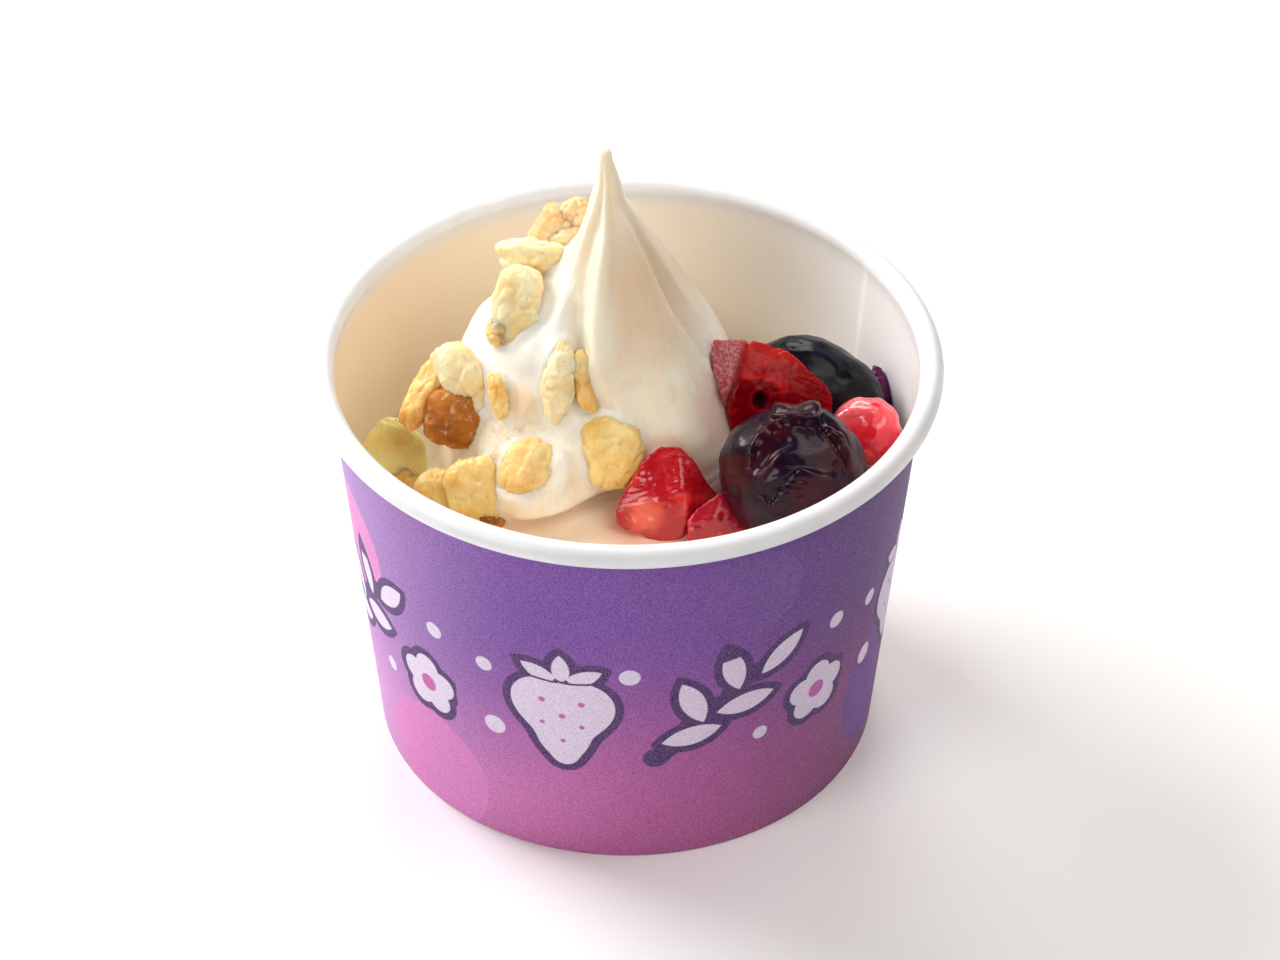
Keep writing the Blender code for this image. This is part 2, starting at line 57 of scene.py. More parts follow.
# Paper cup, as in the model. The print is laid out on a cylinder of PRINT_RADIUS, in a band that repeats.
RIM_RADIUS = 45.0 * MM
CUP_HEIGHT = 63.5 * MM
FOOT_RADIUS = 36.7 * MM
BEAD_RADIUS = 1.65 * MM
NECK_RADIUS = 42.4 * MM
PAPER = 0.5 * MM
FOOT_EDGE = 0.4 * MM
HEM_HEIGHT = 6.0 * MM
HEM_FOLD = 0.8 * MM
GAP = 0.3 * MM
FLOOR_TOP = 7.4 * MM
SEAM_ANGLE = radians(33)
SEAM_LAP = radians(11)
SEAM_FADE = radians(70)
SEAM_STEP = 0.4 * PAPER
CUP_SIDES = 300
PRINT_RADIUS = 39.6 * MM
PRINT_REPEAT = 62.2 * MM

# Frozen yogurt: the model's main form, fuller by up to 4 mm at the foot on the right, as in the photograph
AXIS_X = -3.0 * MM
AXIS_Y = 6.0 * MM
AXIS = Vector((AXIS_X, AXIS_Y, 0))
TIP_HEIGHT = 94.5 * MM
# The rounded tip as radius and height in mm
ROUNDED_TIP = [(0.45, 94.45), (0.72, 94.2), (0.9, 93.6), (1.05, 92.6)]
# The peak's radius at these heights, in mm, by turn round the axis in degrees
PEAK_HEIGHTS = [90, 86, 82, 78, 74, 70, 66, 62, 58, 54, 50]
PEAK_RADII = {
    0: [1.8, 2.9, 5.2, 7.5, 9.8, 12.1, 14.3, 16.6, 17.9, 18.2, 18.6],
    30: [1.8, 2.8, 5.1, 7.3, 9.6, 12.0, 14.3, 16.6, 18.4, 19.4, 20.2],
    60: [1.7, 2.7, 4.9, 7.3, 10.1, 13.0, 15.6, 17.8, 19.3, 20.2, 20.8],
    90: [1.6, 2.6, 4.5, 6.8, 9.6, 12.8, 15.6, 18.0, 19.7, 20.8, 21.4],
    120: [1.5, 2.4, 3.9, 5.9, 8.4, 12.0, 16.0, 18.8, 20.5, 21.4, 22.0],
    150: [1.4, 2.2, 3.3, 4.8, 6.9, 11.4, 16.4, 19.5, 21.3, 22.2, 22.8],
    180: [1.4, 2.2, 2.9, 4.0, 5.8, 10.2, 15.8, 19.6, 21.5, 22.5, 23.2],
    205: [1.4, 2.2, 3.0, 4.1, 5.7, 9.2, 14.4, 19.0, 21.6, 23.0, 24.4],
    230: [1.4, 2.3, 3.4, 4.8, 6.8, 9.4, 12.8, 16.6, 20.4, 23.6, 27.6],
    250: [1.5, 2.4, 3.9, 5.5, 7.4, 9.4, 11.2, 13.2, 16.9, 21.8, 26.8],
    268: [1.8, 2.9, 4.9, 7.0, 9.2, 11.0, 12.4, 13.4, 15.0, 17.2, 20.2],
    285: [1.7, 2.7, 4.6, 6.8, 9.0, 11.2, 13.0, 14.5, 15.8, 17.1, 18.6],
    305: [1.8, 2.8, 5.0, 7.4, 9.9, 12.3, 14.6, 16.8, 18.4, 19.8, 21.2],
    330: [1.8, 2.9, 5.2, 7.6, 10.1, 12.6, 14.9, 17.1, 18.8, 20.2, 21.6],
}
# The mound, by turn: how far the coil overhangs, then the heights of the peak's foot and of the edge, in mm
MOUND = {
    0: (0.0, 46.2, 45.5), 45: (0.0, 43.5, 39.0), 90: (0.0, 41.5, 36.5), 135: (0.0, 41.0, 36.0),
    180: (0.0, 42.0, 37.5), 210: (0.0, 44.5, 41.0), 235: (0.4, 46.0, 44.0), 250: (2.6, 46.4, 45.0),
    268: (2.6, 46.6, 46.0), 284: (1.8, 46.8, 46.4), 297: (0.3, 47.2, 46.6), 320: (0.0, 48.4, 47.0),
}
YOGURT_SIDES = 440
# The surface has relief between these heights, within so many mm of the cup's axis. Past them it stays plain.
LOW_RELIEF = 30 * MM
HIGH_RELIEF = 92 * MM
RELIEF_RADIUS = 38.8
RIDGE_DEPTH = 0.17
SMOOTH_SIDE = radians(338)
# The ridges that the star nozzle leaves, each as height in mm: turn round the axis in degrees
CREST = {50: 290, 55: 289, 58.7: 283, 61.5: 274, 65: 266, 71: 260, 76: 260, 79.5: 263.5, 84: 267.6, 95: 270}
LEFT_FOLD = {60: 242, 64: 238, 68: 230, 71: 222, 75: 212, 85: 216, 95: 222}
CREASE = {50: 339, 54: 337, 61: 331, 64: 330, 72: 322, 82: 320.5, 95: 320}
RIDGES = [CREST, LEFT_FOLD, {0: 165}, {0: 102}, {0: 40}, CREASE]
LEFT_GROOVE = {66: 250, 69: 246, 72: 238, 77: 233, 81.5: 237, 87: 244, 95: 246}
RIGHT_GROOVE = {70: 275, 74: 277, 79: 278, 82: 284, 90: 292, 95: 295}
VALLEY = {54: 272, 57: 268, 60: 262, 64: 254, 69: 246}
CREASE_STEP = 0.3 * MM
COIL_TOP = 67.0 * MM
COIL_FALL = 4.4 * MM
COIL_DEPTH = 1.8 * MM
COIL_WIDTH = 2.6 * MM

# The photograph looks down by this many degrees. FACING turns X to its right, Z upward and -Y to the viewer.
VIEW_TILT = 38.8
FACING = Matrix.Rotation(radians(-VIEW_TILT), 3, "X")


def rgb(red, green, blue):
    """A colour picked as it shows on screen, from 0 to 255, made linear."""
    linear = []
    for value in (red, green, blue):
        v = value / 255
        linear.append(v / 12.92 if v <= 0.04045 else ((v + 0.055) / 1.055) ** 2.4)
    return (*linear, 1.0)


def smoothstep(low, high, x):
    """0 at low, 1 at high and smooth between, also where low is the larger."""
    t = min(1.0, max(0.0, (x - low) / (high - low)))
    return t * t * (3 - 2 * t)


def turn_between(a, b):
    """From b to a, the short way round."""
    return (a - b + pi) % TAU - pi


def bell(x, width):
    """1 at 0, fading to 0 on both sides over about twice the width."""
    return exp(-((x / width) ** 2))


def lump_turn(tilt, roll):
    return Matrix.Rotation(radians(tilt), 3, "X") @ Matrix.Rotation(radians(roll), 3, "Y")


# Meshes


def add_object(name, data):
    obj = bpy.data.objects.new(name, data)
    bpy.context.scene.collection.objects.link(obj)
    return obj


def add_mesh(name, points, faces, finishes, indices=None):
    mesh = bpy.data.meshes.new(name)
    mesh.from_pydata([tuple(p) for p in points], [], faces)
    mesh.validate()
    for finish in finishes:
        mesh.materials.append(finish)
    if indices is not None:
        mesh.polygons.foreach_set("material_index", indices)
    mesh.shade_smooth()
    return add_object(name, mesh)


def normals_of(mesh):
    normals = np.empty(3 * len(mesh.vertices))
    mesh.vertex_normals.foreach_get("vector", normals)
    return normals.reshape(-1, 3)


def bridge(rings, closed_rings=False):
    """The points of these rings and the faces between each two."""
    count = len(rings[0])
    last = len(rings) if closed_rings else len(rings) - 1
    faces = []
    for i in range(last):
        near, far = i * count, (i + 1) % len(rings) * count
        for k in range(count):
            m = (k + 1) % count
            faces.append((near + k, near + m, far + m, far + k))
    return [p for ring in rings for p in ring], faces


def join(name, objects):
    """Several meshes made one object, with their materials kept."""
    with bpy.context.temp_override(
        active_object=objects[0], selected_editable_objects=objects, selected_objects=objects
    ):
        bpy.ops.object.join()
    objects[0].name = name
    objects[0].data.name = name
    return objects[0]


# Node helpers


class Nodes:
    """A material's node tree, with short ways to add what these materials need."""

    def __init__(self, name):
        self.material = bpy.data.materials.new(name)
        self.material.use_nodes = True
        self.tree = self.material.node_tree
        self.shader = self.tree.nodes["Principled BSDF"]
        self.place = self.tree.nodes.new("ShaderNodeTexCoord").outputs["Object"]
        self.base = None

    def set(self, **sockets):
        for name, value in sockets.items():
            self.shader.inputs[name.replace("_", " ")].default_value = value

    def link(self, source, socket):
        self.tree.links.new(source, self.shader.inputs[socket])

    def add(self, kind, inputs, **settings):
        """A new node of this kind, with these inputs, by number or name, linked or set."""
        node = self.tree.nodes.new("ShaderNode" + kind)
        for name, value in settings.items():
            setattr(node, name, value)
        for key, value in inputs.items() if isinstance(inputs, dict) else enumerate(inputs):
            if isinstance(value, bpy.types.NodeSocket):
                self.tree.links.new(value, node.inputs[key])
            else:
                node.inputs[key].default_value = value
        return node

    def math(self, operation, a, b=0.0, c=0.0):
        return self.add("Math", (a, b, c), operation=operation).outputs[0]

    def times(self, *values):
        product = values[0]
        for value in values[1:]:
            product = self.math("MULTIPLY", product, value)
        return product

    def vector(self, operation, a, b):
        node = self.add("VectorMath", (a, b), operation=operation)
        return node.outputs["Value" if operation == "DISTANCE" else "Vector"]

    def away(self, centre, place=None):
        """Distance from this centre, which is in mm."""
        return self.vector("DISTANCE", place or self.place, tuple(c * MM for c in centre))

    def split(self, vector):
        return self.add("SeparateXYZ", (vector,)).outputs[:]

    def combine(self, x, y):
        return self.add("CombineXYZ", (x, y)).outputs[0]

    def span(self, value, low, high, to_low=0.0, to_high=1.0, smooth=True):
        """The value's place between low and high, from to_low to to_high and level past them."""
        shape = "SMOOTHSTEP" if smooth else "LINEAR"
        return self.add("MapRange", (value, low, high, to_low, to_high), interpolation_type=shape).outputs[0]

    def ramp(self, value, low, high, to_low=0.0, to_high=1.0, smooth=True):
        """As span, with low and high in mm."""
        return self.span(value, low * MM, high * MM, to_low, to_high, smooth)

    def noise(self, size, detail=3.0, roughness=0.55, distortion=0.0, where=None):
        """Noise whose features are about this size, in mm."""
        inputs = {"Vector": where or self.place, "Scale": 1 / (size * MM), "Detail": detail}
        inputs.update(Roughness=roughness, Distortion=distortion)
        return self.add("TexNoise", inputs).outputs["Fac"]

    def cells(self, size):
        return self.add("TexVoronoi", {"Vector": self.place, "Scale": 1 / (size * MM)}).outputs["Distance"]

    def mix(self, factor, a, b, blend="MIX"):
        inputs = {0: factor, 6: a, 7: b}
        return self.add("Mix", inputs, data_type="RGBA", blend_type=blend, clamp_factor=True).outputs[2]

    def tint(self, share, colour):
        """This share of the base colour changed to another."""
        self.base = self.mix(share, self.base, colour)

    def bump(self, height, distance, strength, before=None):
        """Fine relief this many mm deep, over what went before."""
        inputs = {"Strength": strength, "Distance": distance * MM, "Height": height}
        if before is not None:
            inputs["Normal"] = before
        return self.add("Bump", inputs).outputs[0]

    def finished(self):
        self.link(self.base, "Base Color")
        return self.material


# Paper cup


def wall_radius(z):
    return FOOT_RADIUS + (NECK_RADIUS - FOOT_RADIUS) * z / (CUP_HEIGHT - 2 * BEAD_RADIUS)


def lap(angle):
    """How far the glued overlap thickens the wall at this angle, from 0 to 1."""
    back = -turn_between(angle, SEAM_ANGLE)
    if back < 0:
        return 1 - smoothstep(0, radians(0.9), -back)
    return 1 - smoothstep(SEAM_LAP, SEAM_FADE, back)


def outer_lap(angle):
    """The overlap's outer edge, a slight step in the print on the far side of the glued strip."""
    back = turn_between(angle, SEAM_ANGLE - SEAM_LAP)
    if back < 0:
        return 1 - smoothstep(0, radians(0.6), -back)
    return 1 - smoothstep(radians(4), radians(30), back)


def wall_section(angle):
    """The wall's cut face as (radius, height, whether it is printed)."""
    step = SEAM_STEP * lap(angle)
    bead = BEAD_RADIUS * (1 + 0.07 * lap(angle))
    bulge = 0.12 * MM * outer_lap(angle)
    slot = 2 * GAP + PAPER
    points = [(wall_radius(0) - 0.35 * MM, 0, False), (wall_radius(0) - 0.1 * MM, 0.12 * MM, True)]
    points.append((wall_radius(FOOT_EDGE), FOOT_EDGE, True))
    neck = CUP_HEIGHT - 2 * BEAD_RADIUS
    for n in range(1, 13):
        z = FOOT_EDGE + (neck - FOOT_EDGE) * n / 12
        points.append((wall_radius(z) + bulge, z, True))
    middle = (RIM_RADIUS - BEAD_RADIUS, CUP_HEIGHT - BEAD_RADIUS)
    start, end = radians(-128), radians(205)
    for k in range(26):
        a = start + (end - start) * k / 25
        points.append((middle[0] + bead * cos(a), middle[1] + bead * sin(a), False))
    inner_top = CUP_HEIGHT - 2.6 * BEAD_RADIUS
    low = HEM_HEIGHT + 1.6 * MM
    for n in range(9):
        z = inner_top + (low - inner_top) * n / 8
        points.append((wall_radius(z) - PAPER - step, z, False))
    for z in (HEM_HEIGHT, HEM_FOLD):
        points.append((wall_radius(z) - PAPER, z, False))
    for z in (HEM_FOLD, HEM_HEIGHT):
        points.append((wall_radius(z) - PAPER - slot, z, False))
    for z in (HEM_HEIGHT, 0.15 * MM):
        points.append((wall_radius(z) - 2 * PAPER - slot, z, False))
    points.append((wall_radius(0) - 2 * PAPER - slot + 0.15 * MM, 0, False))
    return points


def white_paper_material():
    """White outside. Inside, painted shade tints it a warm cream on the left, the granola's side, and painted
    light turns it a cool white on the right.
    """
    n = Nodes("coated_white_paper")
    x, y, z = n.split(n.place)
    fibre = n.noise(0.35, 4, 0.6)
    cloud = n.noise(9, 2, 0.5)
    n.base = n.mix(n.span(cloud, 0.35, 0.65), rgb(243, 245, 250), rgb(236, 238, 243))
    # Painted shade and light on the inside wall: warm cream on the shaded left, cool white on the lit right
    side = n.mix(n.ramp(x, -38, 14, smooth=False), rgb(248, 230, 203), rgb(250, 242, 232))
    side = n.mix(n.ramp(x, 10, 32), side, rgb(244, 243, 245))
    n.tint(n.ramp(z, 61.6, 58.5), side)
    n.link(n.span(cloud, 0.3, 0.7, 0.34, 0.46), "Roughness")
    n.link(n.bump(fibre, 0.02, 0.35), "Normal")
    n.set(Subsurface_Weight=0.1, Subsurface_Radius=(1.0, 0.8, 0.6), Subsurface_Scale=0.8 * MM)
    n.tint(n.span(fibre, 0.3, 0.7, 0, 0.1), rgb(222, 214, 204))
    return n.finished()


def union(n, shapes, blend=0.0):
    """Signed distance to several shapes at once, negative inside, with joins rounded over blend mm."""
    best = shapes[0]
    for shape in shapes[1:]:
        best = n.math("SMOOTH_MIN", best, shape, blend * MM) if blend else n.math("MINIMUM", best, shape)
    return best


def spots(n, place, circles, blend=0.0):
    """Signed distance to a shape made of circles, each (x, y, radius) in mm."""
    shapes = [n.math("SUBTRACT", n.away((x, y, 0), place), radius * MM) for x, y, radius in circles]
    return union(n, shapes, blend)


def leaf(n, place, across, up, lean, length, width):
    """Signed distance to a pointed leaf, the part shared by two circles, in mm with the lean in degrees."""
    half = length / 2
    radius = (half * half + width * width / 4) / width
    side = radius - width / 2
    lean = radians(lean)
    out = []
    for way in (-1, 1):
        at = (across - way * side * sin(lean), up + way * side * cos(lean), 0)
        out.append(n.math("SUBTRACT", n.away(at, place), radius * MM))
    return n.math("MAXIMUM", *out)


def printed_paper_material():
    """Violet running to pink, with soft discs and a band of strawberries, sprigs and blossoms in lilac."""
    n = Nodes("printed_paper")
    x, y, z = n.split(n.place)
    angle = n.math("ARCTAN2", x, n.times(y, -1.0))
    around = n.times(angle, PRINT_RADIUS)
    wave = n.math("SINE", n.math("MULTIPLY_ADD", angle, 2.0, 0.8))
    ripple = n.math("SINE", n.math("MULTIPLY_ADD", angle, 5.0, 2.1))
    edge = n.math("MULTIPLY_ADD", wave, 4.0 * MM, n.times(ripple, 1.6 * MM))
    height = n.math("SUBTRACT", z, edge)
    # Painted shade: the pink runs darker towards the right
    pink = n.mix(n.ramp(x, -26, 10), rgb(216, 122, 186), rgb(188, 90, 158))
    n.base = n.mix(n.ramp(height, 7, 43), pink, rgb(122, 70, 166))
    n.tint(n.ramp(z, 0, 14, 0.35, 0), rgb(196, 92, 148))
    # Painted light and shade: the violet runs paler on the left, the granola's side, where the light falls,
    # and deeper on the right, the berries' side, in shade
    n.tint(n.ramp(x, -12, -42, 0.0, 0.5), rgb(208, 168, 220))
    n.tint(n.ramp(x, 8, 40, 0.0, 0.6), rgb(50, 20, 76))

    # Large soft discs, once round the cup
    whole = n.combine(around, z)
    discs = (
        (-50, 40, 9, rgb(226, 138, 200)), (-33, 8, 11, rgb(224, 130, 196)), (17, 50, 8, rgb(118, 72, 158)),
        (51, 16, 13, rgb(112, 58, 152)), (88, 46, 12, rgb(222, 128, 194)), (-96, 18, 13, rgb(122, 68, 164)),
    )
    for across, up, radius, colour in discs:
        away = spots(n, whole, [(across, up, radius)])
        n.tint(n.ramp(away, 0.25, -0.25), colour)

    # The band, four times round
    start = 10.42 * PRINT_REPEAT
    local = n.math("MODULO", n.math("ADD", around, start), PRINT_REPEAT)
    place = n.combine(n.math("SUBTRACT", local, PRINT_REPEAT / 2), z)
    ink = rgb(66, 26, 100)
    pale = rgb(238, 224, 244)
    berry = [(-14, 29.2, 6), (-16.6, 30.8, 5), (-11.4, 30.8, 5), (-14, 24, 3.8), (-13.8, 20.6, 1.8)]
    fruit = spots(n, place, berry, 2.4)
    cap = ((-17, 36.6, 150, 6.4, 2.6), (-14, 37.8, 92, 6, 2.6), (-11, 36.6, 30, 6.4, 2.6))
    cap = union(n, [leaf(n, place, *v) for v in cap])
    sprig = (
        (4.6, 24.6, 12, 9, 3.6), (4.6, 31.2, 112, 9, 3.6), (12.6, 29, 8, 9, 3.6), (10.4, 36.2, 104, 8.6, 3.4),
        (18, 36.6, 42, 8.6, 3.4),
    )
    sprig = union(n, [leaf(n, place, *v) for v in sprig])
    joints = [(-0.6, 20.8), (1.8, 23.2), (4.4, 26.6), (7.6, 29.6), (10.8, 32.4), (14.2, 34.6)]
    stem = spots(n, place, [(across, up, 0.5) for across, up in joints], 3.4)
    turns = [radians(90 + 72 * k) for k in range(5)]
    blossom = spots(n, place, [(25.4 + 3.0 * cos(t), 25.0 + 3.0 * sin(t), 2.3) for t in turns], 0.5)
    loose = [(-4.4, 37.4, 1.5), (-25.6, 35.2, 1.3), (-24.6, 23.4, 1.7), (28.0, 37.0, 1.4), (15.4, 21.6, 1.2)]
    dots = spots(n, place, loose)
    shape = union(n, [fruit, cap, sprig, blossom])
    inked = union(n, [shape, n.math("SUBTRACT", stem, 0.1 * MM)])
    n.tint(n.ramp(inked, 1.35, 1.15), ink)
    n.tint(n.ramp(shape, 0.08, -0.12), pale)
    n.tint(n.ramp(dots, 0.1, -0.1), pale)
    seeds = [
        (-16.9, 31.4, 0.5), (-11.2, 31.4, 0.5), (-14.0, 28.6, 0.5),
        (-17.0, 26.8, 0.4), (-11.2, 26.8, 0.4), (-14.0, 23.6, 0.4),
    ]
    marks = union(n, [spots(n, place, seeds), spots(n, place, [(25.4, 25.0, 1.5)])])
    n.tint(n.ramp(marks, 0.1, -0.1), rgb(204, 96, 176))
    # An inked line where the leaves meet the berry
    veins = n.math("ABSOLUTE", n.math("SUBTRACT", fruit, cap))
    n.tint(n.times(n.ramp(veins, 0.45, 0.3), n.ramp(shape, 0.5, 0.0)), ink)

    grain = n.noise(0.22, 2, 0.7)
    n.tint(n.span(grain, 0.38, 0.56, 0.0, 0.12), n.mix(1.0, n.base, rgb(235, 200, 235), "SCREEN"))
    n.tint(n.span(grain, 0.6, 0.42, 0.0, 0.3), n.mix(1.0, n.base, rgb(160, 140, 196), "MULTIPLY"))
    n.link(n.bump(n.noise(0.4, 3, 0.6), 0.015, 0.4), "Normal")
    n.set(Roughness=0.55, Specular_IOR_Level=0.25)
    return n.finished()


def make_cup():
    angles = sorted([TAU * k / CUP_SIDES for k in range(CUP_SIDES)] + [SEAM_ANGLE + radians(0.35)])
    rings = []
    for angle in angles:
        rings.append([(r * cos(angle), r * sin(angle), z) for r, z, _ in wall_section(angle)])
    printed = [p for _, _, p in wall_section(0)]
    points, faces = bridge(rings, closed_rings=True)
    count = len(printed)
    indices = []
    for n in range(len(faces)):
        k = n % count
        indices.append(1 if printed[k] and printed[(k + 1) % count] else 0)
    return add_mesh(
        "paper_cup", points, [tuple(reversed(f)) for f in faces],
        [white_paper_material(), printed_paper_material()], indices,
    )


# Frozen yogurt


def round_table(table, angle):
    """The table's row at this angle, on a smooth closed line through its rows."""
    turns = sorted(table)
    turn = degrees(angle) % 360
    n = max(i for i, t in enumerate(turns) if t <= turn)
    count = len(turns)

    def row(i):
        return turns[i % count] + 360 * (i // count), table[turns[i % count]]

    (t0, v0), (t1, v1), (t2, v2), (t3, v3) = row(n - 1), row(n), row(n + 1), row(n + 2)
    s = (turn - t1) / (t2 - t1)
    values = []
    for a, b, c, d in zip(v0, v1, v2, v3):
        into = (c - a) / (t2 - t0) * (t2 - t1)
        out = (d - b) / (t3 - t1) * (t2 - t1)
        values.append(
            b * (1 + 2 * s) * (1 - s) ** 2 + into * s * (1 - s) ** 2
            + c * s * s * (3 - 2 * s) + out * s * s * (s - 1)
        )
    return values


def reach_paper(angle, z):
    """How far the paper is from the swirl's axis at this angle and height."""
    outward = Vector((cos(angle), sin(angle), 0))
    inside = wall_radius(z) - PAPER - 0.05 * MM
    along = AXIS.dot(outward)
    radius = sqrt(along * along - AXIS.length_squared + inside * inside) - along
    at = AXIS + outward * radius
    return radius - SEAM_STEP * lap(atan2(at.y, at.x))


def along(table, height):
    """A turn in radians at this height, from a table of heights in mm and turns in degrees."""
    heights = sorted(table)
    return radians(np.interp(height / MM, heights, [table[h] for h in heights]))


def band(low, high, height, soft=4):
    """1 between these two heights in mm, fading to 0 past them."""
    h = height / MM
    return smoothstep(low - soft, low, h) * (1 - smoothstep(high, high + soft, h))


def star(angle, turns):
    """How near this turn is to a ridge: 1 on it and about 0 midway to the next."""
    gaps = sorted((t - angle) % TAU for t in turns)
    ahead, behind = gaps[0], TAU - gaps[-1]
    wave = sin(pi * ahead / (ahead + behind))
    return 1 - sqrt(wave * wave + 0.006)


def folded(radius, angle, height, turns):
    """The peak's radius with its ridges, its folds, its crease and the groove between its coils."""
    h = height / MM
    ridges, left_groove, right_groove, valley = turns
    depth = RIDGE_DEPTH * (1 - 0.6 * smoothstep(84, 72, h)) * smoothstep(56, 70, h)
    depth *= 1 - smoothstep(86, 93.5, h)
    front = 0.5 - 0.5 * sin(angle)
    smooth_side = bell(turn_between(angle, SMOOTH_SIDE), 0.65)
    radius *= 1 + depth * (0.6 + 0.4 * front) * (1 - 0.95 * smooth_side) * (star(angle, ridges) - 0.42)

    # Each rises by so many mm, at its turn, over its width in mm, between two heights in mm
    for rise, turn, width, low, high in (
        (0.6, ridges[0], 1.6, 53, 80), (0.5, ridges[1], 1.5, 66, 82), (-0.55, left_groove, 1.9, 66, 88),
        (-0.3, right_groove, 1.2, 72, 91), (-0.6, valley, 2.0, 56, 67),
    ):
        radius += rise * MM * bell(turn_between(angle, turn) * radius, width * MM) * band(low, high, height)
    ahead = turn_between(angle, ridges[5])
    if -1.0 < ahead <= 0:
        ragged = 1 + 0.4 * noise(Vector((h * 0.35, 3, 0))) + 0.4 * noise(Vector((h * 1.3, 3, 5)))
        radius += CREASE_STEP * ragged * (1 + ahead) ** 4 * smoothstep(88, 76, h)
        radius += 0.35 * MM * ragged * bell(ahead * radius, 0.5 * MM) * band(56, 82, height)
    turn = (angle - radians(-60)) % TAU
    groove = COIL_TOP - COIL_FALL * (radians(255) - turn)
    near = max(0.0, 1 - abs(height - groove) / COIL_WIDTH)
    ends = smoothstep(0, 0.9, turn) * (1 - smoothstep(radians(215), radians(262), turn))
    return radius - COIL_DEPTH * near * near * (3 - 2 * near) * ends


def through(points, per):
    """A smooth line through these points, with this many steps between each two."""
    made = []
    for n in range(len(points) - 1):
        p0 = points[max(0, n - 1)]
        p1, p2 = points[n], points[n + 1]
        p3 = points[min(len(points) - 1, n + 2)]
        for k in range(per):
            s = k / per
            made.append(tuple(
                0.5 * (2 * b + (c - a) * s + (2 * a - 5 * b + 4 * c - d) * s * s
                       + (3 * b - a - 3 * c + d) * s ** 3)
                for a, b, c, d in zip(p0, p1, p2, p3)
            ))
    made.append(points[-1])
    return made


TURNS = {}


def turns_at(height):
    """Where every ridge and groove lies at this height."""
    key = round(height / MM, 4)
    if key not in TURNS:
        TURNS[key] = (
            [along(t, height) for t in RIDGES], along(LEFT_GROOVE, height), along(RIGHT_GROOVE, height),
            along(VALLEY, height),
        )
    return TURNS[key]


def yogurt_profile(angle):
    """The outline in one direction from the axis, from the tip down to the floor, as (radius, height)."""
    radii = round_table(PEAK_RADII, angle)
    lip, foot, edge = [v * MM for v in round_table(MOUND, angle)]
    line = through(ROUNDED_TIP + list(zip(radii, PEAK_HEIGHTS)), 9)
    points = [(folded(r * MM, angle, z * MM, turns_at(z * MM)), z * MM) for r, z in line]
    low = points[-1][0]
    under = PEAK_HEIGHTS[-1] * MM - foot
    start = low + 4.2 * MM - lip
    end = reach_paper(angle, edge)
    rest = [
        (low, PEAK_HEIGHTS[-1] * MM),
        (low + 0.8 * MM - lip * 0.9, foot + under * 0.5),
        (low + 1.8 * MM - lip * 1.6, foot + under * 0.12),
        (start, foot),
    ]
    for share in (0.35, 0.7, 1.0):
        ease = smoothstep(0, 1.1, share) / smoothstep(0, 1.1, 1.0)
        rest.append((start + (end - start) * share, foot + (edge - foot) * ease))
    rest = [points[-9]] + rest
    points += through(rest, 8)[9:]
    points[-1] = (end, edge + 0.25 * MM)
    bottom = FLOOR_TOP + 0.05 * MM
    for share in (0.06, 0.3, 1.0):
        z = edge + (bottom - edge) * share
        points.append((reach_paper(angle, z), z))
    return points


